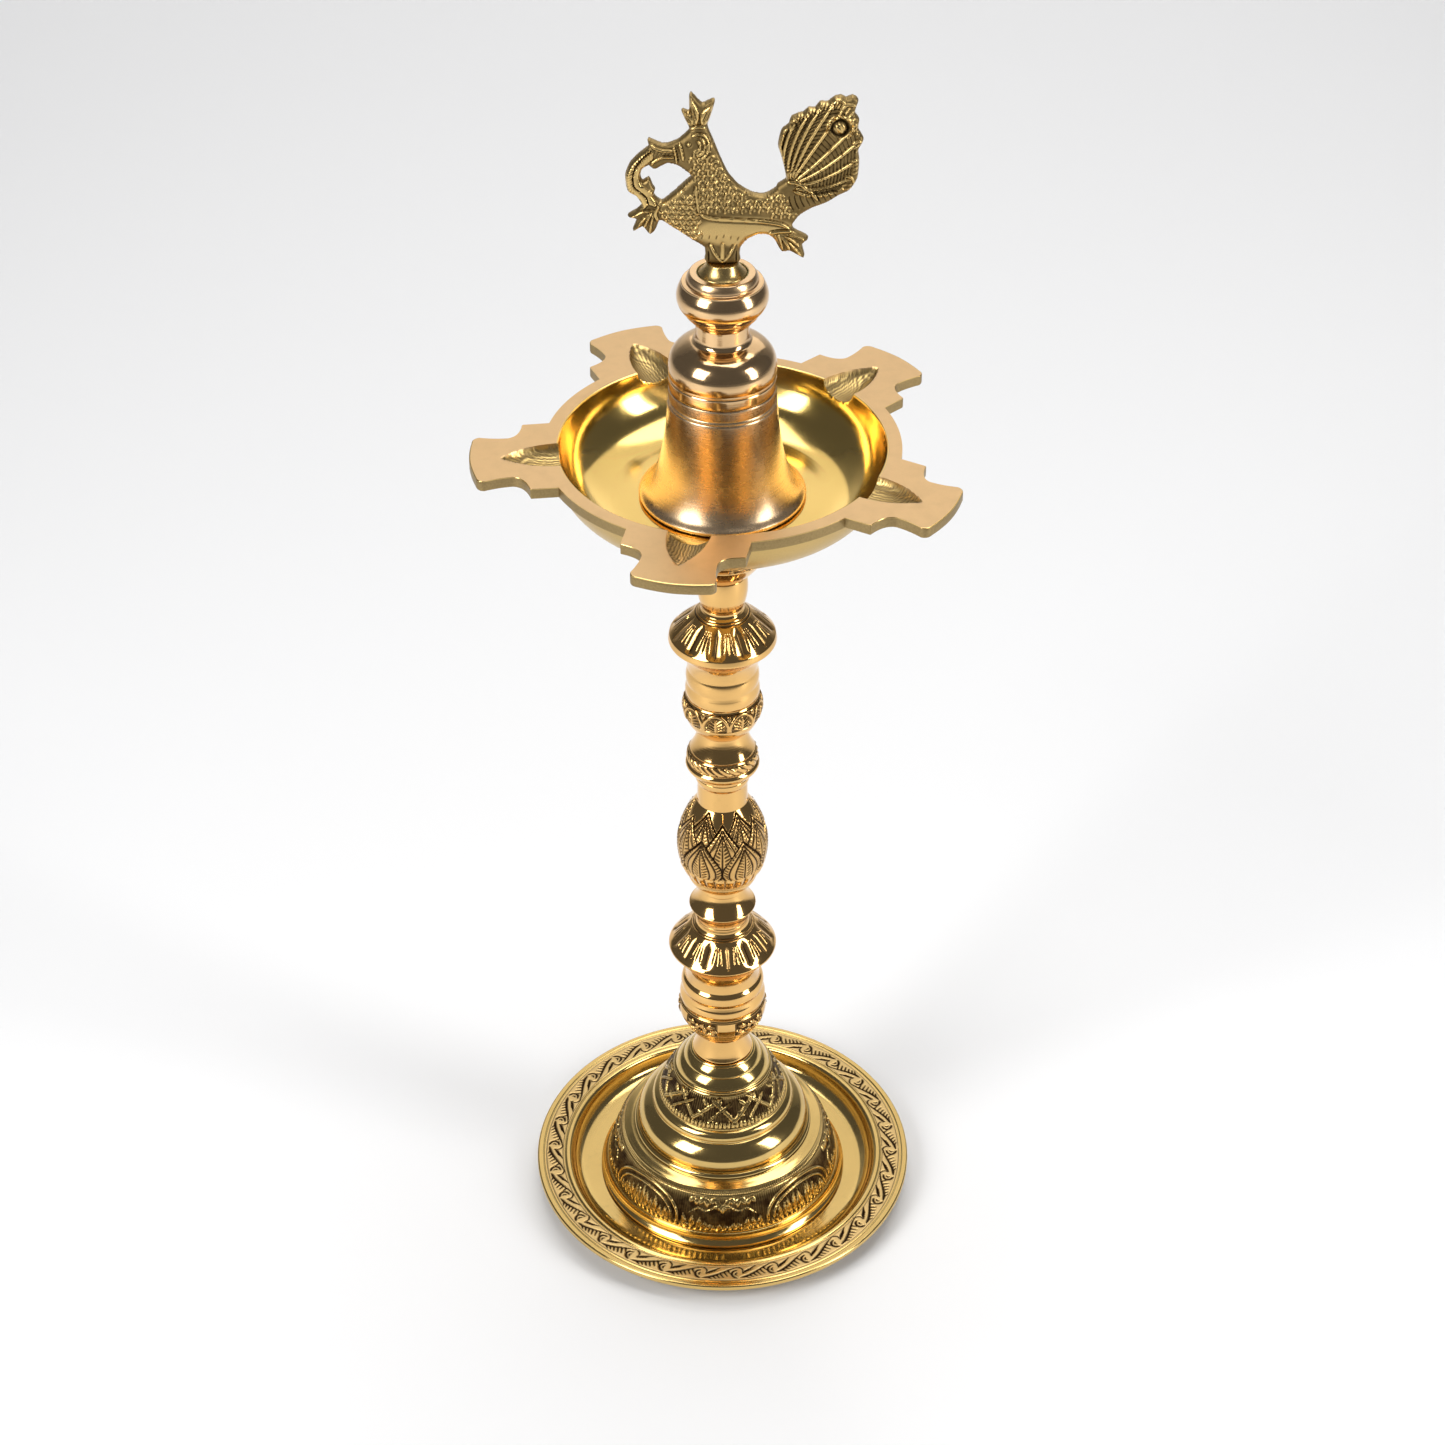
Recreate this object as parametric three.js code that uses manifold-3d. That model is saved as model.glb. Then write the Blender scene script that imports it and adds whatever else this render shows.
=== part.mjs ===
// A brass standing oil lamp (samai). Four assemblies screw together on one axis:
// a footed saucer with a turned boss, a stem of stacked castings, an oil dish with
// five wick spouts round a bell column, and a peacock finial.
// Millimetres, +Z up. The origin is the centre of the saucer's flat underside.

import * as THREE from 'three';
import { mergeVertices } from 'three/addons/utils/BufferGeometryUtils.js';
import Module from 'manifold-3d';

const wasm = await Module();
wasm.setup();

// ---------------------------------------------------------------- driving dimensions

const GAP = 0.3;                 // left between pieces that touch
const THREAD_CLEARANCE = 0.35;   // radial, between a stud's crests and its bush

const SAUCER = { radius: 75, floor: 3.2, rimTop: 10, rimWidth: 14, lip: 2.6, footRadius: 54 };
const DOME = { footRadius: 49.2, height: 54.1, wall: 2.4, crown: 3, crownRadius: 19.2 };
const BOSS = { coneHeight: 9.1, shoulderRadius: 12.1, lipRadius: 19.2, tailRadius: 6.6 };
const NUT = { acrossFlats: 21, height: 6 };

const STEM_STUD = { radius: 6.9, length: 12, pitch: 1.5, threaded: 6.6 };
const DISH_STUD = { radius: 5, length: 23.5, pitch: 1.5, threaded: 8.4, headRadius: 9, head: 4 };
const FINIAL_STUD = { radius: 3.2, length: 9.8, pitch: 1.2, threaded: 8.6 };
const THREAD_DEPTH = 0.55;

const LOWER = { length: 67.6, radius: 20.5 };
const BEAD = { length: 14.3, radius: 12.6 };
const VASE = { length: 66, radius: 16.8 };
const UPPER = { length: 63.1, radius: 19.3 };
const COLLAR = { length: 13.1, radius: 9 };
const CUP = { length: 29.9, radius: 22.4, rimRadius: 20, wall: 2.2, cavity: 15.8 };

const STEM_BORE = 5.2;
const NIPPLE = { grip: 11, bore: 2.6 };
const MOUTH_BUSH = { start: 4.6, length: 10.4, wall: 0.8, relief: 1.35, cover: 1.3055, lip: 3.335 };
const TOP_BUSH = { start: 5.1, length: 8.4, wall: 0.95 };

const DISH = { bowlRadius: 55.5, ringRadius: 60.7, tipRadius: 85.5, depth: 19.6, plate: 3.8, wall: 2.6 };
const ARM = { count: 5, turn: 43, shoulder: 20.6, neck: 12.4, tip: 14 };
const SPOUT = { length: 19.5, halfWidth: 7.2, depth: 5, skin: 2.2 };
const BELL = { skirtRadius: 28.6, topRadius: 18.1, height: 42.3, wall: 2.4 };
const COLUMN = { height: 42, neckRadius: 8.9, knobRadius: 15.2, faceRadius: 10.9, spigot: 4.2 };
const SEAT = { radius: 8.5, depth: 1.2, cone: 5.8 };
const SOCKET_BUSH = { length: 8.3, wall: 1.15 };

const FLANGE = { radius: 8, height: 4.8, topRadius: 5.2 };
const PEACOCK = { height: 58.2, thickness: 7, legHalfWidth: 5 };

// Round pieces share these counts, so that neighbours' flats line up.
const FINE = 40;
const MEDIUM = 24;
const COARSE = 18;

// ---------------------------------------------------------------- heights up the lamp

const SHOULDER_Z = SAUCER.floor + GAP + DOME.height + GAP + BOSS.coneHeight;
const STEM_Z = SHOULDER_Z + GAP;
const BEAD_Z = STEM_Z + LOWER.length;
const VASE_Z = BEAD_Z + BEAD.length;
const UPPER_Z = VASE_Z + VASE.length;
const COLLAR_Z = UPPER_Z + UPPER.length;
const CUP_Z = COLLAR_Z + COLLAR.length;
const STEM_TOP_Z = CUP_Z + CUP.length;
const PAN_Z = STEM_TOP_Z + GAP;
const PAN_FLOOR_Z = PAN_Z + DISH.wall;
const RIM_Z = PAN_FLOOR_Z + DISH.depth;
const BELL_Z = PAN_FLOOR_Z + GAP;
const COLUMN_Z = BELL_Z + BELL.height + GAP;
const KNOB_TOP_Z = COLUMN_Z + COLUMN.height;
const FINIAL_Z = KNOB_TOP_Z - SEAT.depth + GAP;

// ---------------------------------------------------------------- materials

const finish = (colour, roughness) =>
  new THREE.MeshStandardMaterial({ color: colour, roughness, metalness: 1 });

const SAUCER_BRASS = finish(0xb09a58, 0.3);
const STEM_BRASS = finish(0xd0a060, 0.16);
const DISH_BRASS = finish(0xcfa76c, 0.28);
const COLUMN_BRASS = finish(0xc79a6c, 0.2);
const ANTIQUE_BRASS = finish(0x8a6c34, 0.45);
const THREAD_BRASS = finish(0x9a7a4c, 0.5);

// ---------------------------------------------------------------- outlines and solids

// A half-section in (radius, height), drawn up the outside and down the inside.
class Section {
  constructor(radius, height) {
    this.points = [[radius, height]];
  }

  to(radius, height) {
    this.points.push([radius, height]);
    return this;
  }

  // A round stretch: a parabola through the two ends, swelling by `rise` at its middle
  // to the right of the way it runs (outwards when it runs up).
  bow(radius, height, rise, steps = 3) {
    const [startRadius, startHeight] = this.points[this.points.length - 1];
    const across = radius - startRadius;
    const up = height - startHeight;
    const span = Math.hypot(across, up);
    for (let step = 1; step <= steps; step++) {
      const share = step / steps;
      const swell = 4 * rise * share * (1 - share) / span;
      this.points.push([startRadius + across * share + up * swell,
        startHeight + up * share - across * swell]);
    }
    return this;
  }

  // Ring crests from one height to another, which stand for a cut thread.
  thread(crestRadius, fromHeight, toHeight, pitch) {
    const turns = Math.max(1, Math.round(Math.abs(toHeight - fromHeight) / pitch));
    const step = (toHeight - fromHeight) / turns;
    for (let turn = 0; turn < turns; turn++) {
      this.to(crestRadius - THREAD_DEPTH, fromHeight + step * (turn + 0.1));
      this.to(crestRadius, fromHeight + step * (turn + 0.5));
    }
    return this.to(crestRadius - THREAD_DEPTH, toHeight);
  }
}

// Spins a section about +Z. It is closed on itself first unless it ends on the axis.
function spin(section, segments) {
  const loop = section.points.map(([radius, height]) => new THREE.Vector2(radius, height));
  const first = loop[0];
  const last = loop[loop.length - 1];
  if (first.x > 0 || last.x > 0) loop.push(first.clone());
  let area = 0;
  for (let index = 0; index < loop.length; index++) {
    const here = loop[index];
    const next = loop[(index + 1) % loop.length];
    area += here.x * next.y - next.x * here.y;
  }
  if (area < 0) loop.reverse();
  return new THREE.LatheGeometry(loop, segments).rotateX(Math.PI / 2);
}

// The solid of a closed geometry, for cutting and joining.
function solid(geometry) {
  const bare = geometry.clone();
  bare.deleteAttribute('normal');
  bare.deleteAttribute('uv');
  const merged = mergeVertices(bare, 1e-4);
  const index = merged.index.array;
  const corners = [];
  for (let start = 0; start < index.length; start += 3) {
    const [a, b, c] = index.slice(start, start + 3);
    if (a !== b && b !== c && c !== a) corners.push(a, b, c);
  }
  return new wasm.Manifold(new wasm.Mesh({
    numProp: 3,
    vertProperties: new Float32Array(merged.attributes.position.array),
    triVerts: new Uint32Array(corners),
  }));
}

function geometryOf(body) {
  const mesh = body.getMesh();
  const geometry = new THREE.BufferGeometry();
  geometry.setAttribute('position', new THREE.BufferAttribute(mesh.vertProperties, 3));
  geometry.setIndex(new THREE.BufferAttribute(mesh.triVerts, 1));
  geometry.computeVertexNormals();
  return geometry;
}

const lamp = new THREE.Group();

function addPiece(name, geometry, material, height = 0) {
  const mesh = new THREE.Mesh(geometry, material);
  mesh.name = name;
  mesh.position.z = height;
  lamp.add(mesh);
  return mesh;
}

// A ring of rectangular section: a bush, or a plain threaded nipple.
function tube(outerRadius, innerRadius, height) {
  return new Section(innerRadius, 0).to(outerRadius, 0).to(outerRadius, height).to(innerRadius, height);
}

// ---------------------------------------------------------------- base

// A cast plate: flat underneath, a trough round the dome's foot, a flat engraved rim.
function saucer() {
  const { radius, floor, rimTop, rimWidth, lip, footRadius } = SAUCER;
  const rimInner = radius - rimWidth;
  return new Section(0, 0)
    .to(footRadius, 0)
    .bow(rimInner - 0.5, rimTop - floor, 1.2)
    .to(radius - 0.6, rimTop - lip)
    .to(radius, rimTop - lip + 0.5)
    .to(radius, rimTop - 0.5)
    .to(radius - 0.7, rimTop)
    .to(rimInner + 2, rimTop)
    .bow(rimInner, rimTop - 1, 0.4, 2)
    .bow(DOME.footRadius + 5, floor, -1.6, 3)
    .to(0, floor);
}

// The hollow dome: polished flared foot, engraved lower band, bead, broad polished
// bulge, small ring and engraved upper band, closed by a crown with the boss's hole.
function dome() {
  const { footRadius, height, wall, crown, crownRadius } = DOME;
  const waist = share => crownRadius + (footRadius - crownRadius) * share;
  const level = share => height * share;
  const hole = BOSS.tailRadius + THREAD_CLEARANCE;
  return new Section(footRadius - wall - 1, 0)
    .to(footRadius, 0)
    .to(waist(0.99), level(0.02))
    .bow(waist(0.913), level(0.102), -0.5, 2)
    .bow(waist(0.673), level(0.423), 0.9)
    .to(waist(0.583), level(0.436))
    .to(waist(0.533), level(0.44))
    .bow(waist(0.5), level(0.482), 0.5, 2)
    .bow(waist(0.297), level(0.678), 1.9, 4)
    .bow(waist(0.21), level(0.754), 0.7, 2)
    .bow(crownRadius, height, 0.5, 2)
    .to(hole, height)
    .to(hole, height - crown)
    .to(crownRadius - wall - 0.6, height - crown)
    .to(waist(0.21) - wall - 0.4, level(0.74))
    .to(waist(0.33) - wall, level(0.6))
    .to(waist(0.5) - wall - 0.6, level(0.44))
    .to(waist(0.64) - wall, level(0.38))
    .to(waist(0.87) - wall, level(0.1));
}

// The turned boss: a tail down through the crown, a cone, a shoulder and the stud.
function boss() {
  const { coneHeight, shoulderRadius, lipRadius, tailRadius } = BOSS;
  const { radius, length, pitch, threaded } = STEM_STUD;
  const tailEnd = -GAP - DOME.crown - NUT.height - 1.5;
  const stud = coneHeight + length;
  return new Section(0, tailEnd)
    .to(tailRadius - 0.6, tailEnd)
    .to(tailRadius, tailEnd + 0.8)
    .to(tailRadius, 0)
    .to(lipRadius, 0)
    .to(lipRadius, 0.7)
    .to(lipRadius - 0.8, 1)
    .to(shoulderRadius, coneHeight)
    .to(radius - 0.3, coneHeight)
    .to(radius - 0.3, stud - threaded)
    .thread(radius, stud - threaded, stud - 0.8, pitch)
    .to(radius - THREAD_DEPTH - 0.7, stud)
    .to(1.6, stud)
    .to(0, stud - 1);
}

function hexNut(acrossFlats, bore, height) {
  const outline = new THREE.Shape();
  const corner = acrossFlats / Math.sqrt(3);
  for (let side = 0; side < 6; side++) {
    const angle = side * Math.PI / 3;
    if (side === 0) outline.moveTo(corner, 0);
    else outline.lineTo(corner * Math.cos(angle), corner * Math.sin(angle));
  }
  const hole = new THREE.Path().absarc(0, 0, bore, 0, 2 * Math.PI, true);
  outline.holes.push(hole);
  return new THREE.ExtrudeGeometry(outline, { depth: height, bevelEnabled: false, curveSegments: 12 });
}

const domeZ = SAUCER.floor + GAP;
const bossZ = domeZ + DOME.height + GAP;
const nutZ = domeZ + DOME.height - DOME.crown - GAP - NUT.height;
addPiece('base_saucer', spin(saucer(), FINE), SAUCER_BRASS);
addPiece('base_dome', spin(dome(), FINE), SAUCER_BRASS, domeZ);
addPiece('base_boss', spin(boss(), MEDIUM), SAUCER_BRASS, bossZ);
addPiece('base_lock_nut',
  hexNut(NUT.acrossFlats, BOSS.tailRadius + THREAD_CLEARANCE, NUT.height), THREAD_BRASS, nutZ);

// ---------------------------------------------------------------- stem

// Each casting's outside is drawn at its own size: radii as shares of its widest
// radius and heights as shares of its length. Bores have sizes of their own.
function casting({ radius, length }, startShare) {
  const section = new Section(startShare * radius, 0);
  return {
    section,
    to(radiusShare, heightShare) {
      section.to(radiusShare * radius, heightShare * length);
      return this;
    },
    bow(radiusShare, heightShare, rise, steps) {
      section.bow(radiusShare * radius, heightShare * length, rise, steps);
      return this;
    },
  };
}

// Flared mouth, neck, engraved ring, banded barrel and a wide bell rim with a carved top.
function lowerSection() {
  const { length, radius } = LOWER;
  const bushBore = STEM_STUD.radius + THREAD_CLEARANCE + MOUTH_BUSH.wall + GAP;
  const bushTop = MOUTH_BUSH.start + MOUTH_BUSH.length + GAP;
  return casting(LOWER, (bushBore + MOUTH_BUSH.lip) / radius)
    .bow((bushBore + MOUTH_BUSH.cover) / radius, 0.145, -0.5, 2)
    .bow(0.727, 0.254, 0.5, 3)
    .bow(0.688, 0.385, 2.2, 3)
    .bow(0.695, 0.577, 1.3, 4)
    .bow(1, 0.8, -2.2, 4)
    .to(0.97, 0.815)
    .to(0.488, 0.972)
    .to(0.48, 1).section
    .to(STEM_BORE, length)
    .to(STEM_BORE, bushTop)
    .to(bushBore, bushTop)
    .to(bushBore, MOUTH_BUSH.start - GAP)
    .to(bushBore + MOUTH_BUSH.relief, 0);
}

function stemBead() {
  return casting(BEAD, 0.78)
    .bow(0.98, 0.42, -0.6, 2)
    .to(1, 0.46)
    .to(0.96, 0.5)
    .bow(0.655, 1, -0.5, 2).section
    .to(STEM_BORE, BEAD.length)
    .to(STEM_BORE, 0);
}

// Neck, leaf-carved bulb standing on a fluted end, narrow neck, bulge and a cut ring.
function vase() {
  return casting(VASE, 0.49)
    .to(0.51, 0.044)
    .bow(0.765, 0.123, 0.9, 2)
    .bow(1, 0.305, 1.1, 3)
    .bow(0.553, 0.638, 1.2, 4)
    .to(0.53, 0.67)
    .to(0.547, 0.779)
    .bow(0.774, 0.891, -0.7, 2)
    .bow(0.708, 1, 0.6, 2).section
    .to(STEM_BORE, VASE.length)
    .to(STEM_BORE, 0);
}

// The upper bell section repeats the lower one, smaller.
function upperSection() {
  return casting(UPPER, 0.617)
    .bow(0.461, 0.137, -0.3, 2)
    .bow(0.705, 0.252, 0.5, 3)
    .bow(0.658, 0.382, 1.1, 2)
    .bow(0.653, 0.58, 0.6, 3)
    .bow(1, 0.772, -1.8, 4)
    .to(0.98, 0.807)
    .to(0.394, 0.975)
    .to(0.383, 1).section
    .to(STEM_BORE, UPPER.length)
    .to(STEM_BORE, 0);
}

function collarBead() {
  return casting(COLLAR, 0.83)
    .bow(0.955, 1, 0.9, 4).section
    .to(STEM_BORE, COLLAR.length)
    .to(STEM_BORE, 0);
}

// The flared cup that carries the dish on its rim; hollow, with the top bush in its floor.
function cup() {
  const { length, rimRadius, wall, cavity } = CUP;
  const bushBore = DISH_STUD.radius + THREAD_CLEARANCE + TOP_BUSH.wall + GAP;
  const ledge = TOP_BUSH.start - GAP;
  return casting(CUP, 0.384)
    .bow(0.714, 0.331, 0.5, 3)
    .bow(0.933, 0.518, 0.5, 2)
    .bow(0.964, 0.786, 0.9, 3)
    .section
    .to(rimRadius, length)
    .to(rimRadius - wall, length)
    .to(bushBore + 2, length - cavity + 2)
    .to(bushBore, length - cavity)
    .to(bushBore, ledge)
    .to(STEM_BORE, ledge)
    .to(STEM_BORE, 0);
}

const nippleRadius = STEM_BORE - GAP;
const nippleTop = CUP_Z + TOP_BUSH.start - 2 * GAP;
const mouthBushRadius = STEM_STUD.radius + THREAD_CLEARANCE;
const topBushRadius = DISH_STUD.radius + THREAD_CLEARANCE;

addPiece('stem_mouth_bush',
  spin(tube(mouthBushRadius + MOUTH_BUSH.wall, mouthBushRadius, MOUTH_BUSH.length), MEDIUM),
  THREAD_BRASS, STEM_Z + MOUTH_BUSH.start);
addPiece('stem_lower_section', spin(lowerSection(), MEDIUM), STEM_BRASS, STEM_Z);
addPiece('stem_bead', spin(stemBead(), MEDIUM), STEM_BRASS, BEAD_Z);
addPiece('stem_vase', spin(vase(), MEDIUM), STEM_BRASS, VASE_Z);
addPiece('stem_upper_section', spin(upperSection(), MEDIUM), STEM_BRASS, UPPER_Z);
addPiece('stem_collar_bead', spin(collarBead(), MEDIUM), STEM_BRASS, COLLAR_Z);
addPiece('stem_cup', spin(cup(), MEDIUM), STEM_BRASS, CUP_Z);

// Threaded nipples hold the castings in line, out of sight inside the bore.
const nipples = [
  ['stem_lower_nipple', BEAD_Z - NIPPLE.grip, VASE_Z + NIPPLE.grip],
  ['stem_middle_nipple', UPPER_Z - NIPPLE.grip, UPPER_Z + NIPPLE.grip],
  ['stem_upper_nipple', COLLAR_Z - NIPPLE.grip, nippleTop],
];
for (const [name, low, high] of nipples) {
  addPiece(name, spin(tube(nippleRadius, NIPPLE.bore, high - low), COARSE), THREAD_BRASS, low);
}
addPiece('stem_top_bush',
  spin(tube(topBushRadius + TOP_BUSH.wall, topBushRadius, TOP_BUSH.length), MEDIUM),
  THREAD_BRASS, CUP_Z + TOP_BUSH.start);

// ---------------------------------------------------------------- oil dish

// The headed stud that passes down through the pan's floor into the stem's cup.
function dishStud() {
  const { radius, length, pitch, threaded, headRadius, head } = DISH_STUD;
  const underHead = DISH.wall + GAP;
  return new Section(0, -length)
    .to(radius - THREAD_DEPTH - 0.5, -length)
    .thread(radius, -length + 0.8, -length + threaded, pitch)
    .to(radius - 0.2, -length + threaded)
    .to(radius - 0.2, underHead)
    .to(headRadius, underHead)
    .to(headRadius, underHead + head - 1)
    .to(headRadius - 1, underHead + head)
    .to(0, underHead + head);
}

// The plate's outline: a ring with five arms. Each arm has square shoulders, a waist
// and a fan-shaped tip with rounded corners, and half of it is drawn, then mirrored.
function dishOutline() {
  const { ringRadius, tipRadius } = DISH;
  const { count, shoulder, neck, tip } = ARM;
  const root = Math.sqrt(ringRadius ** 2 - shoulder ** 2);
  const half = new THREE.Path();
  half.moveTo(root, shoulder);
  half.lineTo(root + 9.4, shoulder);
  half.quadraticCurveTo(root + 10.8, neck + 0.6, tipRadius - 13.6, neck);
  half.quadraticCurveTo(tipRadius - 9, neck, tipRadius - 4, tip);
  half.quadraticCurveTo(tipRadius - 1.6, tip - 0.2, tipRadius - 1.4, tip - 3);
  half.quadraticCurveTo(tipRadius - 0.1, (tip - 3) / 2, tipRadius, 0);
  const upper = half.getPoints(3);
  const lower = upper.slice(0, -1).reverse().map(point => new THREE.Vector2(point.x, -point.y));
  const arm = [...upper, ...lower].map(point => new THREE.Vector2(point.x, -point.y));
  const halfAngle = Math.asin(shoulder / ringRadius);
  const sweep = 2 * Math.PI / count;
  const points = [];
  for (let index = 0; index < count; index++) {
    const turn = THREE.MathUtils.degToRad(ARM.turn) + index * sweep;
    for (const point of arm) points.push(point.clone().rotateAround(new THREE.Vector2(), turn));
    const ringSteps = 4;
    for (let step = 1; step < ringSteps; step++) {
      const angle = turn + halfAngle + (sweep - 2 * halfAngle) * step / ringSteps;
      points.push(new THREE.Vector2(ringRadius * Math.cos(angle), ringRadius * Math.sin(angle)));
    }
  }
  return new THREE.Shape(points);
}

// A boat shape along +X: half-round across, running straight and then closing to a
// point over `length`. It cuts a spout, or, made larger, thickens the arm beneath it.
function boat(length, halfWidth, depth, straight) {
  const section = new Section(0, -straight).to(1, -straight);
  for (const share of [0, 0.3, 0.55, 0.75, 0.9]) section.to(1 - share ** 2.2, share * length);
  section.to(0, length);
  return spin(section, 16).rotateY(Math.PI / 2).scale(1, halfWidth, depth);
}

// The pan: bowl and plate in one casting, with a spout cut in each arm.
function dishPan() {
  const { bowlRadius, depth, plate, wall } = DISH;
  const floorRadius = bowlRadius - 17.5;
  const plateSolid = solid(new THREE.ExtrudeGeometry(dishOutline(), { depth: plate, bevelEnabled: false })
    .translate(0, 0, -plate));
  const shell = new Section(0, -depth - wall)
    .to(floorRadius, -depth - wall)
    .bow(bowlRadius + wall, -plate, 5, 6)
    .to(bowlRadius + wall, 0)
    .to(0, 0);
  const hollow = new Section(0, -depth)
    .to(floorRadius, -depth)
    .bow(bowlRadius, -1, 5, 6)
    .to(bowlRadius, 5)
    .to(0, 5);
  const hole = new Section(0, -depth - 2 * wall)
    .to(DISH_STUD.radius + THREAD_CLEARANCE, -depth - 2 * wall)
    .to(DISH_STUD.radius + THREAD_CLEARANCE, 0)
    .to(0, 0);
  let pan = plateSolid.add(solid(spin(shell, FINE)));
  const spouts = [];
  for (let index = 0; index < ARM.count; index++) {
    const turn = THREE.MathUtils.degToRad(ARM.turn + index * 360 / ARM.count);
    const place = geometry => solid(geometry.translate(bowlRadius, 0, 0).rotateZ(turn));
    const { length, halfWidth, depth: spoutDepth, skin } = SPOUT;
    const keel = place(boat(length + skin, halfWidth + skin, spoutDepth + skin, 1));
    const aboveTop = solid(new THREE.BoxGeometry(4 * bowlRadius, 4 * bowlRadius, 20).translate(0, 0, 10));
    pan = pan.add(keel.subtract(aboveTop));
    spouts.push(place(boat(length, halfWidth, spoutDepth, 8)));
  }
  pan = pan.subtract(solid(spin(hollow, FINE))).subtract(solid(spin(hole, MEDIUM)));
  for (const spout of spouts) pan = pan.subtract(spout);
  return geometryOf(pan);
}

// The bell that stands on the pan's floor: rolled skirt, hollow flare, plain upper body.
function bell() {
  const { skirtRadius, topRadius, height, wall } = BELL;
  const flare = share => topRadius + (skirtRadius - topRadius) * share;
  return new Section(skirtRadius - wall - 0.6, 0)
    .to(skirtRadius - 0.3, 0)
    .bow(flare(0.93), height * 0.1, 0.5, 2)
    .bow(flare(0.22), height * 0.55, -1.1, 4)
    .bow(topRadius, height, -0.2, 2)
    .to(topRadius - wall, height)
    .to(topRadius - wall, height * 0.62)
    .to(flare(0.3) - wall, height * 0.45)
    .to(flare(0.62) - wall, height * 0.22);
}

// The column on the bell: spigot, band, round shoulder, neck, knob and the finial's seat.
function column() {
  const { height, neckRadius, knobRadius, faceRadius, spigot } = COLUMN;
  const shoulderRadius = BELL.topRadius;
  const spigotRadius = shoulderRadius - BELL.wall - GAP;
  const socketRadius = FINIAL_STUD.radius + THREAD_CLEARANCE + SOCKET_BUSH.wall + GAP;
  const seatZ = height - SEAT.depth;
  const socketTop = seatZ - SEAT.cone;
  const socketLedge = socketTop - SOCKET_BUSH.length - 2 * GAP;
  return new Section(spigotRadius - 2, -spigot)
    .to(spigotRadius, -spigot)
    .to(spigotRadius, 0)
    .to(shoulderRadius, 0)
    .to(shoulderRadius, height * 0.105)
    .bow(neckRadius + 0.6, height * 0.41, 3.4, 5)
    .to(neckRadius, height * 0.45)
    .to(neckRadius, height * 0.565)
    .to(neckRadius + 1.6, height * 0.6)
    .to(neckRadius + 3.4, height * 0.655)
    .bow(knobRadius - 1.5, height * 0.912, 2.1, 4)
    .to(faceRadius + 0.9, height * 0.925)
    .bow(faceRadius, height, 0.3, 2)
    .to(SEAT.radius, height)
    .to(SEAT.radius, seatZ)
    .to(SEAT.radius - 1.3, seatZ)
    .to(socketRadius, socketTop)
    .to(socketRadius, socketLedge)
    .to(socketRadius - 0.9, socketLedge)
    .to(socketRadius - 0.9, height * 0.5)
    .to(spigotRadius - 2, height * 0.2);
}

const socketInner = FINIAL_STUD.radius + THREAD_CLEARANCE;
const socketZ = KNOB_TOP_Z - SEAT.depth - SEAT.cone - GAP - SOCKET_BUSH.length;
addPiece('dish_stud', spin(dishStud(), COARSE), THREAD_BRASS, PAN_Z);
addPiece('dish_pan', dishPan(), DISH_BRASS, RIM_Z);
addPiece('dish_bell', spin(bell(), MEDIUM), DISH_BRASS, BELL_Z);
addPiece('dish_column', spin(column(), MEDIUM), COLUMN_BRASS, COLUMN_Z);
addPiece('dish_socket_bush',
  spin(tube(socketInner + SOCKET_BUSH.wall, socketInner, SOCKET_BUSH.length), COARSE),
  THREAD_BRASS, socketZ);

// ---------------------------------------------------------------- finial

// The turned collar under the bird, with its stud.
function finialScrew() {
  const { radius, length, pitch, threaded } = FINIAL_STUD;
  return new Section(0, -length)
    .to(radius - THREAD_DEPTH - 0.6, -length)
    .thread(radius, -length + 0.9, -length + threaded, pitch)
    .to(radius - 0.2, 0)
    .to(FLANGE.radius - 0.3, 0)
    .to(FLANGE.radius, 0.6)
    .bow(FLANGE.topRadius, FLANGE.height, -0.3, 2)
    .to(0, FLANGE.height);
}

// The bird seen from its left, x across and y up from the foot of its leg, in shares of
// its height: leg, breast, front leaf, garland, head, crest, back, fan tail, rear leaf.
const PEACOCK_OUTLINE = [
  [-0.086, 0], [-0.086, 0.06], [-0.14, 0.125], [-0.22, 0.18], [-0.325, 0.251],
  [-0.35, 0.252], [-0.37, 0.2], [-0.4, 0.17], [-0.42, 0.215], [-0.44, 0.22], [-0.49, 0.19],
  [-0.47, 0.257], [-0.52, 0.277], [-0.47, 0.305], [-0.44, 0.345], [-0.472, 0.402],
  [-0.512, 0.427], [-0.526, 0.525], [-0.5, 0.59], [-0.443, 0.651], [-0.397, 0.689],
  [-0.4, 0.732], [-0.337, 0.704], [-0.3, 0.7], [-0.237, 0.726], [-0.182, 0.778],
  [-0.179, 0.807], [-0.218, 0.902], [-0.172, 0.918], [-0.172, 1], [-0.11, 0.938],
  [-0.045, 0.964], [-0.084, 0.812], [-0.05, 0.72], [-0.012, 0.62], [0.031, 0.526],
  [0.088, 0.457], [0.156, 0.41], [0.206, 0.398], [0.275, 0.407], [0.3, 0.455],
  [0.347, 0.493], [0.344, 0.548], [0.304, 0.7], [0.32, 0.782], [0.371, 0.857],
  [0.436, 0.885], [0.526, 0.946], [0.601, 0.974], [0.636, 0.983], [0.725, 0.96],
  [0.708, 0.892], [0.732, 0.85], [0.76, 0.734], [0.732, 0.61], [0.732, 0.507],
  [0.691, 0.438], [0.567, 0.362], [0.491, 0.332], [0.423, 0.287], [0.381, 0.225],
  [0.395, 0.187], [0.471, 0.143], [0.436, 0.105], [0.45, 0.026], [0.375, 0.067],
  [0.326, 0.067], [0.285, 0.143], [0.251, 0.17], [0.196, 0.174], [0.12, 0.136],
  [0.093, 0.095], [0.086, 0],
];

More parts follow.
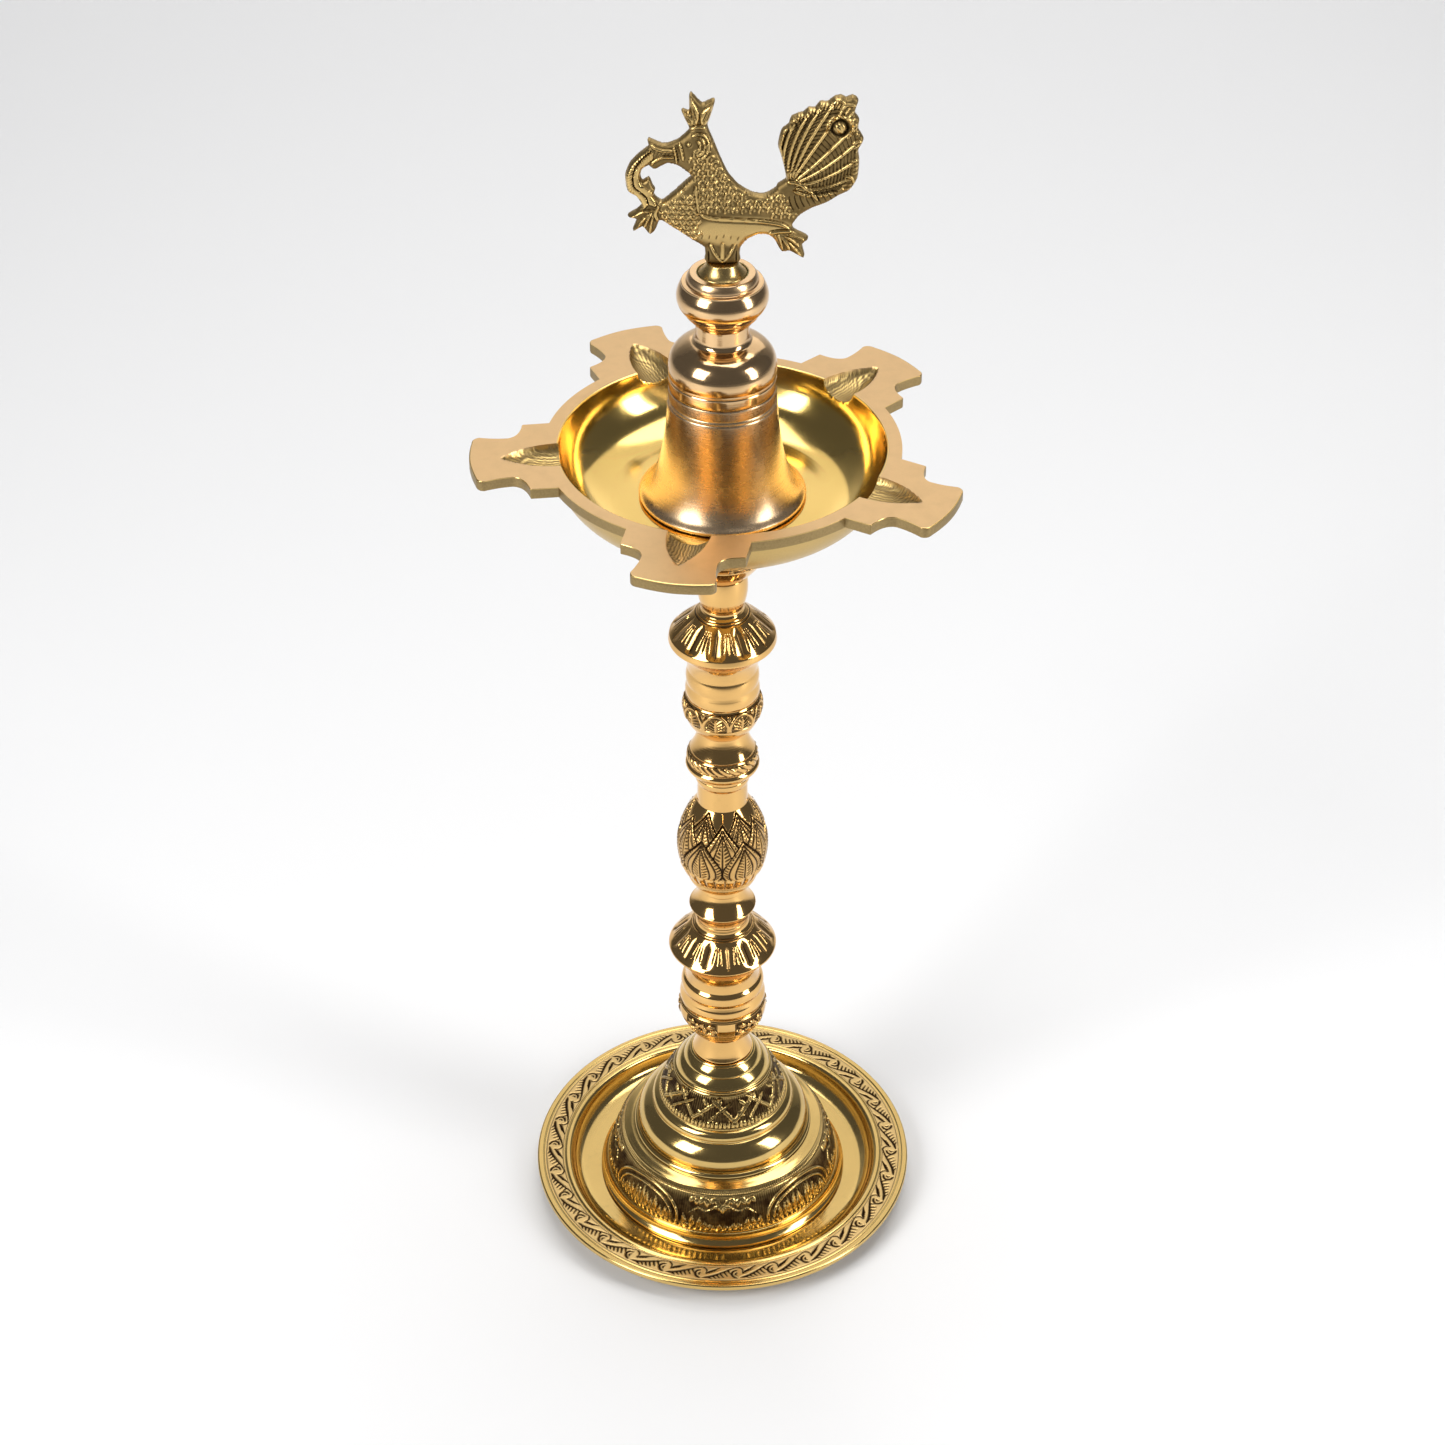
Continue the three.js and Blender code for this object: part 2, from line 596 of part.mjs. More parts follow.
// The window between the garland, the beak and the breast, the other way round.
const PEACOCK_WINDOW = [
  [-0.4, 0.586], [-0.438, 0.564], [-0.45, 0.521], [-0.424, 0.476], [-0.381, 0.454],
  [-0.378, 0.402], [-0.332, 0.361], [-0.263, 0.414], [-0.2, 0.476], [-0.163, 0.521],
  [-0.237, 0.583], [-0.3, 0.598], [-0.369, 0.564],
];

function peacock() {
  const { height, thickness, legHalfWidth } = PEACOCK;
  const legShare = 0.086;
  const across = share => (Math.abs(share) === legShare ? Math.sign(share) * legHalfWidth : share * height);
  const toPoint = ([x, y]) => new THREE.Vector2(across(x), y * height);
  const outline = new THREE.Shape(PEACOCK_OUTLINE.map(toPoint));
  outline.holes.push(new THREE.Path(PEACOCK_WINDOW.map(toPoint)));
  return new THREE.ExtrudeGeometry(outline, { depth: thickness, bevelEnabled: false })
    .translate(0, 0, -thickness / 2)
    .rotateX(Math.PI / 2);
}

addPiece('finial_screw', spin(finialScrew(), COARSE), ANTIQUE_BRASS, FINIAL_Z);
addPiece('finial_peacock', peacock(), ANTIQUE_BRASS, FINIAL_Z + FLANGE.height + GAP);

export default lamp;
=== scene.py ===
"""Looks for a standing brass oil lamp: engraved base, carved stem, five-spouted dish and peacock.

Lengths inside the shaping functions are millimetres; they become metres when a mesh is made.
"""

import bpy
import numpy as np
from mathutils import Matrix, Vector


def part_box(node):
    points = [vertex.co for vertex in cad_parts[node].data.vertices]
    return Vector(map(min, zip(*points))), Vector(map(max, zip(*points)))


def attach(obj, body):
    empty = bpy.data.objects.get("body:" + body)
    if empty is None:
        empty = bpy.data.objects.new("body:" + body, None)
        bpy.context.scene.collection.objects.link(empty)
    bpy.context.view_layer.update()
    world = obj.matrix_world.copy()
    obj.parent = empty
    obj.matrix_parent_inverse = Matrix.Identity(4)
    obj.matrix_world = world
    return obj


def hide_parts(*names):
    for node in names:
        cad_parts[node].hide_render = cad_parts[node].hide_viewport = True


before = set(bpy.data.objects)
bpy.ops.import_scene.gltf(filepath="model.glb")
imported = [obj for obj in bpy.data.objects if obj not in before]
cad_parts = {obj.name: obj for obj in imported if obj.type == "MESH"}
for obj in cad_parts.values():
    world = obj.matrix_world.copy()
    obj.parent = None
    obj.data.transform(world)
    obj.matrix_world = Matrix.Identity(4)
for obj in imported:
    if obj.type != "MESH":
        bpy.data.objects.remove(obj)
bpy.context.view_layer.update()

MM = 0.001
TURN = 2 * np.pi
SHARP_ANGLE = np.radians(38)
EVEN = (0.0, 0.0)                       # ends of a cut that don't die away
hand = np.random.default_rng(11)        # the engraver's unevenness


# ---------------------------------------------------------------- lines and sections

def curve(points, steps=5):
    """A smooth line through points: between two of them runs the cubic whose slope at each
    is half the way from the point before it to the point after it."""
    p = np.asarray(points, float)
    before = np.vstack([2 * p[:1] - p[1:2], p[:-2]]) if len(p) > 2 else 2 * p[:1] - p[1:2]
    after = np.vstack([p[2:], 2 * p[-1:] - p[-2:-1]]) if len(p) > 2 else 2 * p[-1:] - p[-2:-1]
    here, there = p[:-1], p[1:]
    t = (np.arange(steps) / steps)[None, :, None]
    a, b, c, d = (x[:, None, :] for x in (before, here, there, after))
    line = 0.5 * (2 * b + (c - a) * t + (2 * a - 5 * b + 4 * c - d) * t ** 2
                  + (3 * b - a - 3 * c + d) * t ** 3)
    return np.vstack([line.reshape(-1, 2), p[-1:]])


class Contour:
    """A half section in (radius, height), drawn up the outside and down the inside. Each
    stretch has its own spacing of rows and may carry a tag, by which carving finds it."""

    def __init__(self, radius, height):
        self.points = [(radius, height)]
        self.steps = [1.0]
        self.tags = [""]

    def to(self, radius, height, step=1.2, tag=""):
        """A straight line to the next point."""
        self.points.append((radius, height))
        self.steps.append(step)
        self.tags.append(tag)
        return self

    def bow(self, radius, height, rise, step=0.9, tag=""):
        """A parabola to the next point, its middle standing `rise` to the right of the way
        it runs, which is outwards when it runs up."""
        start = np.array(self.points[-1])
        way = np.array((radius, height)) - start
        span = np.hypot(*way)
        count = max(5, int(np.ceil(span / step)))
        share = np.arange(1, count + 1)[:, None] / count
        swell = 4 * rise * share * (1 - share) / span
        for point in start + way * share + swell * np.array((way[1], -way[0])):
            self.points.append(tuple(point))
            self.steps.append(step)
            self.tags.append(tag)
        return self

    def along(self, points, step=0.7, tag=""):
        """The smooth curve through points, the first of which is where the section stands."""
        for radius, height in curve(points, 4)[1:]:
            self.to(radius, height, step, tag)
        return self

    def groove(self, width, depth, step=0.25):
        """A small V cut square to the last stretch, ending further along the same way."""
        last, previous = np.array(self.points[-1]), np.array(self.points[-2])
        way = (last - previous) / np.hypot(*(last - previous))
        inward = np.array((-way[1], way[0]))
        middle = last + way * width / 2 + inward * depth
        end = last + way * width
        self.to(middle[0], middle[1], step)
        return self.to(end[0], end[1], step)

    def rows(self, ease):
        """The rows of the finished section and their tags. Each corner sharper than 12
        degrees gives way to a parabola that leaves its sides `ease` away, then each stretch
        is cut into equal lengths no longer than its spacing."""
        points, steps, tags = [np.array(self.points[0])], [1.0], [""]
        for i in range(1, len(self.points)):
            here = np.array(self.points[i])
            if i + 1 < len(self.points):
                back, on = np.array(self.points[i - 1]) - here, np.array(self.points[i + 1]) - here
                reach_back, reach_on = np.hypot(*back), np.hypot(*on)
                turn = np.pi - np.arccos(np.clip(back @ on / (reach_back * reach_on), -1, 1))
                if turn > np.radians(12):
                    cut_back, cut_on = min(ease, 0.4 * reach_back), min(ease, 0.4 * reach_on)
                    first = here + back / reach_back * cut_back
                    last = here + on / reach_on * cut_on
                    for t in (0, 0.33, 0.67, 1):
                        points.append(first * (1 - t) ** 2 + 2 * here * t * (1 - t) + last * t ** 2)
                        steps.append(self.steps[i])
                        tags.append(self.tags[i] if t == 0 else "")
                    continue
            points.append(here)
            steps.append(self.steps[i])
            tags.append(self.tags[i])
        rows, row_tags = [points[0]], [tags[0]]
        for start, end, step, tag in zip(points[:-1], points[1:], steps[1:], tags[1:]):
            count = max(1, int(np.ceil(np.hypot(*(end - start)) / step - 0.01)))
            for k in range(1, count + 1):
                rows.append(start + (end - start) * k / count)
                row_tags.append(tag)
        return np.array(rows), np.array(row_tags)


# ---------------------------------------------------------------- carving

class Carving:
    """A patch of surface being cut. `lift` is how far each place stands off the smooth
    surface and `cut` how much dark patina lies there. u runs along the patch and v across
    it, both in millimetres; a patch that goes right round wraps from its end to its start."""

    def __init__(self, u_pitch, columns, v, wraps):
        self.pitch, self.columns, self.v, self.wraps = u_pitch, columns, v, wraps
        self.lift = np.zeros((len(v), columns))
        self.cut = np.zeros((len(v), columns))
        self.u = np.arange(columns) * u_pitch
        self.around = u_pitch * columns

    def near(self, line, reach):
        """Distance from each place near a line to its nearest point, how far along the line
        that point is (0 to 1), on which side the place lies, and the columns concerned."""
        line = np.asarray(line, float)
        first = int(np.floor((line[:, 0].min() - reach) / self.pitch))
        last = int(np.ceil((line[:, 0].max() + reach) / self.pitch))
        if not self.wraps:
            first, last = max(first, 0), min(last, self.columns - 1)
        columns = np.arange(first, last + 1)
        rows = np.nonzero((self.v > line[:, 1].min() - reach) & (self.v < line[:, 1].max() + reach))[0]
        if len(rows) == 0 or len(columns) == 0:
            return None
        start, way = line[:-1], line[1:] - line[:-1]
        size = np.maximum((way ** 2).sum(1), 1e-9)
        du = (columns * self.pitch)[None, :, None] - start[:, 0]
        dv = self.v[rows][:, None, None] - start[:, 1]
        share = np.clip((du * way[:, 0] + dv * way[:, 1]) / size, 0, 1)
        off_u, off_v = du - share * way[:, 0], dv - share * way[:, 1]
        distance = np.hypot(off_u, off_v)
        pick = distance.argmin(2)[..., None]
        lengths = np.sqrt(size)
        reached = np.concatenate([[0], np.cumsum(lengths)[:-1]])
        position = (reached + share * lengths) / lengths.sum()
        side = np.sign(way[:, 0] * off_v - way[:, 1] * off_u)
        take = lambda field: np.take_along_axis(field, pick, 2)[..., 0]
        return take(distance), take(position), take(side), rows, columns % self.columns

    def stroke(self, line, width, depth, fade=(0.25, 0.35), dark=1.0, level=None):
        """One groove along a line, half-round in section; its width grows over the first
        share of its length and dies away over the last. A depth below nothing raises a cord
        instead. `level` is the ground the cord or groove is measured from."""
        found = self.near(line, width / 2)
        if found is None:
            return
        distance, position, _, rows, columns = found
        ends = ((position, fade[0]), (1 - position, fade[1]))
        tapers = [way / share for way, share in ends if share > 0]
        taper = np.minimum.reduce([np.ones_like(position)] + tapers)
        reach = width / 2 * np.sqrt(np.clip(taper, 0.04, 1))
        shape = np.clip(1 - (distance / reach) ** 2, 0, 1)
        place = np.ix_(rows, columns)
        ground = self.lift[place] if level is None else level
        if depth >= 0:
            self.lift[place] = np.minimum(self.lift[place], ground - depth * shape)
            self.cut[place] = np.maximum(self.cut[place], dark * np.sqrt(shape))
        else:
            height = ground - depth * np.sqrt(shape)
            self.lift[place] = np.where(shape > 0, np.maximum(self.lift[place], height), self.lift[place])
            self.cut[place] *= 1 - np.sqrt(shape)

    def leaf(self, base, tip, width, height, level, vein=0.5, fat=0.8):
        """A raised leaf from base to tip: across its middle line the surface is a low half
        round whose half width follows the sine of the way along, bent to be fat near the
        base; a dark outline and a middle vein are cut in it."""
        base, tip = np.asarray(base, float), np.asarray(tip, float)
        found = self.near(np.array([base, tip]), width / 2 + 0.4)
        if found is None:
            return
        distance, position, _, rows, columns = found
        half = width / 2 * np.sin(np.pi * np.clip(position, 0.001, 0.999) ** fat) + 0.05
        inside = np.clip(1 - (distance / half) ** 2, 0, 1)
        place = np.ix_(rows, columns)
        lifted = level + height * inside ** 0.6 - vein * height * np.exp(-(distance / 0.22) ** 2)
        edge = np.exp(-((distance - half - 0.12) / 0.2) ** 2) * (position > 0.02) * (position < 0.99)
        self.lift[place] = np.where(inside > 0, np.maximum(lifted, self.lift[place] - 0.05),
                                    self.lift[place] - 0.12 * edge)
        self.cut[place] = np.where(inside > 0, 0.45 * np.exp(-(distance / 0.25) ** 2) * (vein > 0),
                                   np.maximum(self.cut[place], edge))


class Turned:
    """A piece turned about the lamp's axis. Its section is stretched to the height and the
    widest radius of the CAD piece it stands for; carving then lifts each place along the
    section's normal. Rows with a `dense` tag have every column, the others each second one."""

    def __init__(self, node, contour, columns, dense=None, ease=0.3):
        low, high = (np.array(corner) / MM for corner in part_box(node))
        rows, self.tags = contour.rows(ease)
        heights = rows[:, 1]
        stretch = (high[2] - low[2]) / np.ptp(heights)
        widest = max(-low[0], high[0], -low[1], high[1])
        self.rows = np.stack([rows[:, 0] * widest / rows[:, 0].max(),
                              low[2] + (heights - heights.min()) * stretch], 1)
        self.node = node
        self.closed = self.rows[0, 0] > 1e-6
        self.columns = columns
        self.full = np.ones(len(rows), bool) if dense is None else np.isin(self.tags, dense)
        self.angle = TURN * np.arange(columns) / columns
        self.lift = np.zeros((len(rows), columns))
        self.cut = np.zeros((len(rows), columns))
        self.satin = np.zeros(len(rows))
        self.raw = np.zeros(len(rows))

    def band(self, *tags):
        """The carving patch over the tagged rows, laid out flat at their middle radius."""
        picked = np.nonzero(np.isin(self.tags, tags))[0]
        here = self.rows[picked]
        across = np.concatenate([[0], np.cumsum(np.hypot(*np.diff(here, axis=0).T))])
        patch = Carving(TURN * here[:, 0].mean() / self.columns, self.columns, across, True)
        patch.picked = picked
        return patch

    def add(self, patch):
        """Puts a finished patch on the piece, easing it in over its first and last rows."""
        edge = np.minimum(np.arange(len(patch.v)), np.arange(len(patch.v))[::-1])
        ease = np.clip(edge / 1.5, 0, 1)[:, None]
        self.lift[patch.picked] += patch.lift * ease
        self.cut[patch.picked] = np.maximum(self.cut[patch.picked], patch.cut * ease)

    def surface(self):
        """Points, faces and marks. Each row is a ring at its radius and height plus the lift
        along the normal, which is the right-hand side of the way the section runs. Between
        rings of different counts run three-cornered faces, and a section that ends on the
        axis is closed there by a fan."""
        if self.closed:
            way = np.roll(self.rows, -1, 0) - np.roll(self.rows, 1, 0)
        else:
            way = np.gradient(self.rows, axis=0)
        way /= np.maximum(np.hypot(*way.T), 1e-9)[:, None]
        radius = self.rows[:, :1] + self.lift * way[:, 1:]
        height = self.rows[:, 1:] - self.lift * way[:, :1]
        ring = np.stack([radius * np.cos(self.angle), radius * np.sin(self.angle), height,
                         self.cut, np.broadcast_to(self.satin[:, None], self.cut.shape),
                         np.broadcast_to(self.raw[:, None], self.cut.shape)], -1)
        used = np.arange(len(ring)) if self.closed else np.arange(1, len(ring) - 1)
        rings = [ring[i] if self.full[i] else ring[i, ::2] for i in used]
        starts = np.concatenate([[0], np.cumsum([len(r) for r in rings])])
        index = [starts[n] + np.arange(len(r)) for n, r in enumerate(rings)]
        quads, fans = [], []
        pairs = zip(index, index[1:] + index[:1]) if self.closed else zip(index[:-1], index[1:])
        for a, b in pairs:
            on_a, on_b = np.roll(a, -1), np.roll(b, -1)
            if len(a) == len(b):
                quads.append(np.stack([a, on_a, on_b, b], 1))
            elif len(a) > len(b):
                even, odd, over = a[::2], a[1::2], np.roll(a[::2], -1)
                fans += [np.stack(f, 1) for f in ((even, odd, b), (odd, on_b, b), (odd, over, on_b))]
            else:
                even, odd, over = b[::2], b[1::2], np.roll(b[::2], -1)
                fans += [np.stack(f, 1) for f in ((a, odd, even), (a, on_a, odd), (on_a, over, odd))]
        points = np.vstack(rings)
        if not self.closed:
            poles = np.zeros((2, 6))
            poles[:, 2] = self.rows[[0, -1], 1]
            poles[:, 4], poles[:, 5] = self.satin[[0, -1]], self.raw[[0, -1]]
            first, last = index[0], index[-1]
            fans.append(np.stack([np.roll(first, -1), first, np.full_like(first, len(points))], 1))
            fans.append(np.stack([last, np.roll(last, -1), np.full_like(last, len(points) + 1)], 1))
            points = np.vstack([points, poles])
        return points, np.vstack(quads), np.vstack(fans) if fans else None

    def piece(self, name, body, material, slot):
        """Makes the surface a piece that stands for this node."""
        points, quads, fans = self.surface()
        marks = {"cut": points[:, 3], "satin": points[:, 4], "raw": points[:, 5]}
        return make_piece(name, points[:, :3], quads, fans, marks, material, body, [self.node])


def grid_faces(rows, columns, closed_rows):
    """The four-cornered faces of a grid whose columns go right round, facing outwards."""
    last = rows if closed_rows else rows - 1
    i, j = np.meshgrid(np.arange(last), np.arange(columns), indexing="ij")
    up, on = (i + 1) % rows, (j + 1) % columns
    corners = np.stack([i * columns + j, i * columns + on, up * columns + on, up * columns + j], -1)
    return corners.reshape(-1, 4)


def make_piece(name, points, quads, fans, marks, material, body, nodes):
    """Puts arrays of points, four-cornered and three-cornered faces and point marks into a
    mesh, smooth but for sharp edges, and hangs it on its body."""
    corners = [np.asarray(quads).reshape(-1)]
    totals = [np.full(len(quads), 4)]
    if fans is not None:
        corners.append(np.asarray(fans).reshape(-1))
        totals.append(np.full(len(fans), 3))
    corners, totals = np.concatenate(corners), np.concatenate(totals)
    mesh = bpy.data.meshes.new(name)
    mesh.vertices.add(len(points))
    mesh.vertices.foreach_set("co", (np.asarray(points) * MM).astype(np.float32).ravel())
    mesh.loops.add(len(corners))
    mesh.loops.foreach_set("vertex_index", corners.astype(np.int32))
    mesh.polygons.add(len(totals))
    mesh.polygons.foreach_set("loop_start", (np.cumsum(totals) - totals).astype(np.int32))
    mesh.update(calc_edges=True)
    mesh.validate()
    mesh.polygons.foreach_set("use_smooth", np.ones(len(mesh.polygons), bool))
    for mark, values in marks.items():
        attribute = mesh.attributes.new(mark, "FLOAT", "POINT")
        attribute.data.foreach_set("value", values.astype(np.float32))
    mesh.set_sharp_from_angle(angle=SHARP_ANGLE)
    mesh.materials.append(material)
    piece = bpy.data.objects.new(name, mesh)
    bpy.context.scene.collection.objects.link(piece)
    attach(piece, body)
    if nodes:
        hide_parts(*nodes)
    return piece


# ---------------------------------------------------------------- brass

def brass(name, polished, satin, raw, patina, shine, dull=0.36, turning=0.5, pits=0.3, smudge=0.05):
    """Brass with the marks of its making. The polished, satin and raw tones are mixed by
    the piece's own marks, a slow noise shifts each tone a little, patina fills the cuts,
    fine rings stand for turning lines and a fine noise for casting grain and pits."""
    material = bpy.data.materials.new(name)
    material.use_nodes = True
    nodes, links = material.node_tree.nodes, material.node_tree.links
    nodes.clear()

    def node(kind, **settings):
        """A new node with its settings."""
        made = nodes.new("ShaderNode" + kind)
        for key, value in settings.items():
            setattr(made, key, value)
        return made

    def math(operation, a, b=None, clamp=False):
        """One sum on numbers or sockets."""
        made = node("Math", operation=operation, use_clamp=clamp)
        for socket, value in zip(made.inputs, (a, b)):
            if value is None:
                continue
            if isinstance(value, (int, float)):
                socket.default_value = value
            else:
                links.new(value, socket)
        return made.outputs[0]

    def blend(share, a, b):
        """Colour a turning into colour b by the share."""
        made = node("Mix", data_type="RGBA")
        for socket, value in ((made.inputs[0], share), (made.inputs[6], a), (made.inputs[7], b)):
            if isinstance(value, (int, float)):
                socket.default_value = value
            elif isinstance(value, tuple):
                socket.default_value = (*value, 1)
            else:
                links.new(value, socket)
        return made.outputs[2]

    def noise(scale, detail, vector, rough=0.5):
        """Noise in three dimensions, from 0 to 1."""
        made = node("TexNoise")
        made.inputs["Scale"].default_value = scale
        made.inputs["Detail"].default_value = detail
        made.inputs["Roughness"].default_value = rough
        links.new(vector, made.inputs["Vector"])
        return made.outputs["Fac"]

    def mark(which):
        """One of the piece's own marks."""
        return node("Attribute", attribute_name=which, attribute_type="GEOMETRY").outputs["Fac"]

    where = node("TexCoord").outputs["Object"]
    cloud = noise(38, 3, where)
    smear = noise(210, 4, where, 0.65)
    grain = noise(1500, 3, where, 0.7)
    cut, satin_mark, raw_mark = mark("cut"), mark("satin"), mark("raw")

    split = node("SeparateXYZ")
    links.new(where, split.inputs[0])
    x, y, z = split.outputs
    radius = math("SQRT", math("ADD", math("MULTIPLY", x, x), math("MULTIPLY", y, y)))
    along = math("ADD", math("MULTIPLY", radius, 0.8), z)
    rings = node("TexNoise", noise_dimensions="1D")
    rings.inputs["Scale"].default_value = 2100
    rings.inputs["Detail"].default_value = 2
    links.new(along, rings.inputs["W"])
    ring = rings.outputs["Fac"]

    tone = lambda colour, by: tuple(min(1, c * by) for c in colour)
    warm = blend(math("MULTIPLY", cloud, 0.9, True), tone(polished, 0.86), tone(polished, 1.1))
    soft = blend(smear, tone(satin, 0.88), tone(satin, 1.12))
    rough_tone = blend(grain, tone(raw, 0.6), tone(raw, 1.35))
    colour = blend(satin_mark, warm, soft)
    colour = blend(raw_mark, colour, rough_tone)
    stain = math("MULTIPLY", math("SUBTRACT", smear, 0.58, True), 2.2, True)
    colour = blend(math("MULTIPLY", stain, smudge * 4, True), colour, tone(patina, 2.6))
    speck = math("GREATER_THAN", grain, 0.735)
    colour = blend(math("MULTIPLY", speck, pits), colour, tone(patina, 1.5))
    filled = math("MULTIPLY", cut, math("ADD", 0.75, math("MULTIPLY", smear, 0.7)), True)
    colour = blend(filled, colour, patina)

    level = math("ADD", shine, math("MULTIPLY", math("SUBTRACT", smear, 0.5), smudge * 2.5))
    level = math("ADD", level, math("MULTIPLY", satin_mark, dull - shine))
    level = math("ADD", level, math("MULTIPLY", raw_mark, 0.3))
    level = math("ADD", level, math("MULTIPLY", math("SUBTRACT", ring, 0.5), 0.1 * turning))
    level = math("ADD", level, math("MULTIPLY", filled, 0.35), True)

    coarse = node("Bump")
    coarse.inputs["Distance"].default_value = 0.00006
    coarse.inputs["Strength"].default_value = 0.5
    links.new(math("MULTIPLY", ring, turning), coarse.inputs["Height"])
    fine = node("Bump")
    fine.inputs["Distance"].default_value = 0.00012
    fine.inputs["Strength"].default_value = 0.6
    height = math("MULTIPLY", grain, math("ADD", 0.04, math("MULTIPLY", raw_mark, 0.9)))
    links.new(math("ADD", height, math("MULTIPLY", cloud, 0.3)), fine.inputs["Height"])
    links.new(coarse.outputs[0], fine.inputs["Normal"])

    shader = node("BsdfPrincipled")
    shader.inputs["Metallic"].default_value = 1.0
    links.new(colour, shader.inputs["Base Color"])
    links.new(level, shader.inputs["Roughness"])
    links.new(fine.outputs[0], shader.inputs["Normal"])
    links.new(shader.outputs[0], node("OutputMaterial").inputs[0])
    return material


PATINA = (0.040, 0.020, 0.008)
BASE_BRASS = brass("base_brass", (0.72, 0.50, 0.18), (0.62, 0.43, 0.18), (0.40, 0.30, 0.13),
                   PATINA, shine=0.13, dull=0.32)
STEM_BRASS = brass("stem_brass", (0.84, 0.51, 0.18), (0.78, 0.47, 0.18), (0.46, 0.34, 0.15),
                   PATINA, shine=0.10, turning=0.3)
DISH_BRASS = brass("dish_brass", (0.84, 0.58, 0.18), (0.62, 0.41, 0.20), (0.35, 0.25, 0.11),
                   PATINA, shine=0.13, dull=0.34, turning=0.3)
BELL_BRASS = brass("bell_brass", (0.72, 0.50, 0.27), (0.60, 0.43, 0.26), (0.50, 0.36, 0.16),
                   PATINA, shine=0.16, dull=0.27, turning=0.4)
COLUMN_BRASS = brass("column_brass", (0.80, 0.53, 0.27), (0.78, 0.53, 0.29), (0.44, 0.40, 0.20),
                     PATINA, shine=0.12, dull=0.28, turning=0.4)
BIRD_BRASS = brass("antique_brass", (0.72, 0.50, 0.19), (0.58, 0.41, 0.17), (0.38, 0.27, 0.11),
                   (0.045, 0.026, 0.008), shine=0.22, dull=0.36, turning=0.0, pits=0.5, smudge=0.12)
THREAD_BRASS = brass("thread_brass", (0.52, 0.36, 0.16), (0.46, 0.32, 0.15), (0.34, 0.25, 0.12),
                     PATINA, shine=0.34, dull=0.45, turning=0.3, pits=0.5, smudge=0.1)


# ---------------------------------------------------------------- base

def round_lines(band, heights, width, depth, dark=1.0):
    """Cuts that run right round at the given heights."""
    for v in heights:
        band.stroke([(0, v), (band.around - 1e-3, v)], width, depth, fade=EVEN, dark=dark)


def saucer_patterns(plate):
    """Engraving round the saucer's flat rim. Thirty times round a long vine swings from the
    outer edge to the inner one, with tapered hatch cuts hanging from it on the outer side,
    a large curl where it ends and a comb of short cuts on the inner side."""
    rim = plate.band("rim")
    wide = rim.v[-1]
    count = 30
    repeat = rim.around / count
    for k in range(count):
        j = hand.normal(0, 0.16, 12)
        u = k * repeat + j[0]
        at = lambda points: curve([(u + x, y + 0.08 * j[1]) for x, y in points], 5)
        rim.stroke(at([(-0.6, 1.3), (1.8, 1.9), (4.6, 3.1), (7.6, 4.6), (10.8, 6.0), (14.2, 6.8)]), 1.05, 0.4,
                   fade=(0.08, 0.7))
        for n in range(6):
            x = 1.7 + 1.45 * n + 0.2 * j[2 + n]
            y = 1.5 + 0.52 * (x - 1.0)
            reach = (1.1, 1.7, 2.2, 2.7, 2.9, 2.6)[n]
            rim.stroke(at([(x, y), (x + 0.55, y - 0.45 * reach), (x + 1.5, max(0.55, y - reach))]), 0.85, 0.32,
                       fade=(0.05, 0.75))
        rim.stroke(at([(13.0, 5.2), (11.3, 4.7), (10.6, 3.4), (11.2, 2.0), (12.7, 1.1)]),
                   1.05, 0.38, fade=(0.3, 0.15))
        rim.stroke(at([(12.7, 4.0), (12.0, 3.3), (12.5, 2.4)]), 0.7, 0.28)
        for n in range(4):
            x = 0.6 + 1.0 * n
            rim.stroke(at([(x, 3.3 + 0.5 * n), (x + 1.3, 4.7 + 0.45 * n), (x + 2.9, 5.5 + 0.4 * n)]), 0.78, 0.3,
                       fade=(0.05, 0.6))
        rim.stroke(at([(-1.4, 6.9), (0.2, 6.1), (0.9, 4.9), (0.4, 3.8)]), 0.7, 0.28)
    round_lines(rim, (0.2, wide - 0.25), 0.5, 0.15, dark=0.8)
    plate.add(rim)


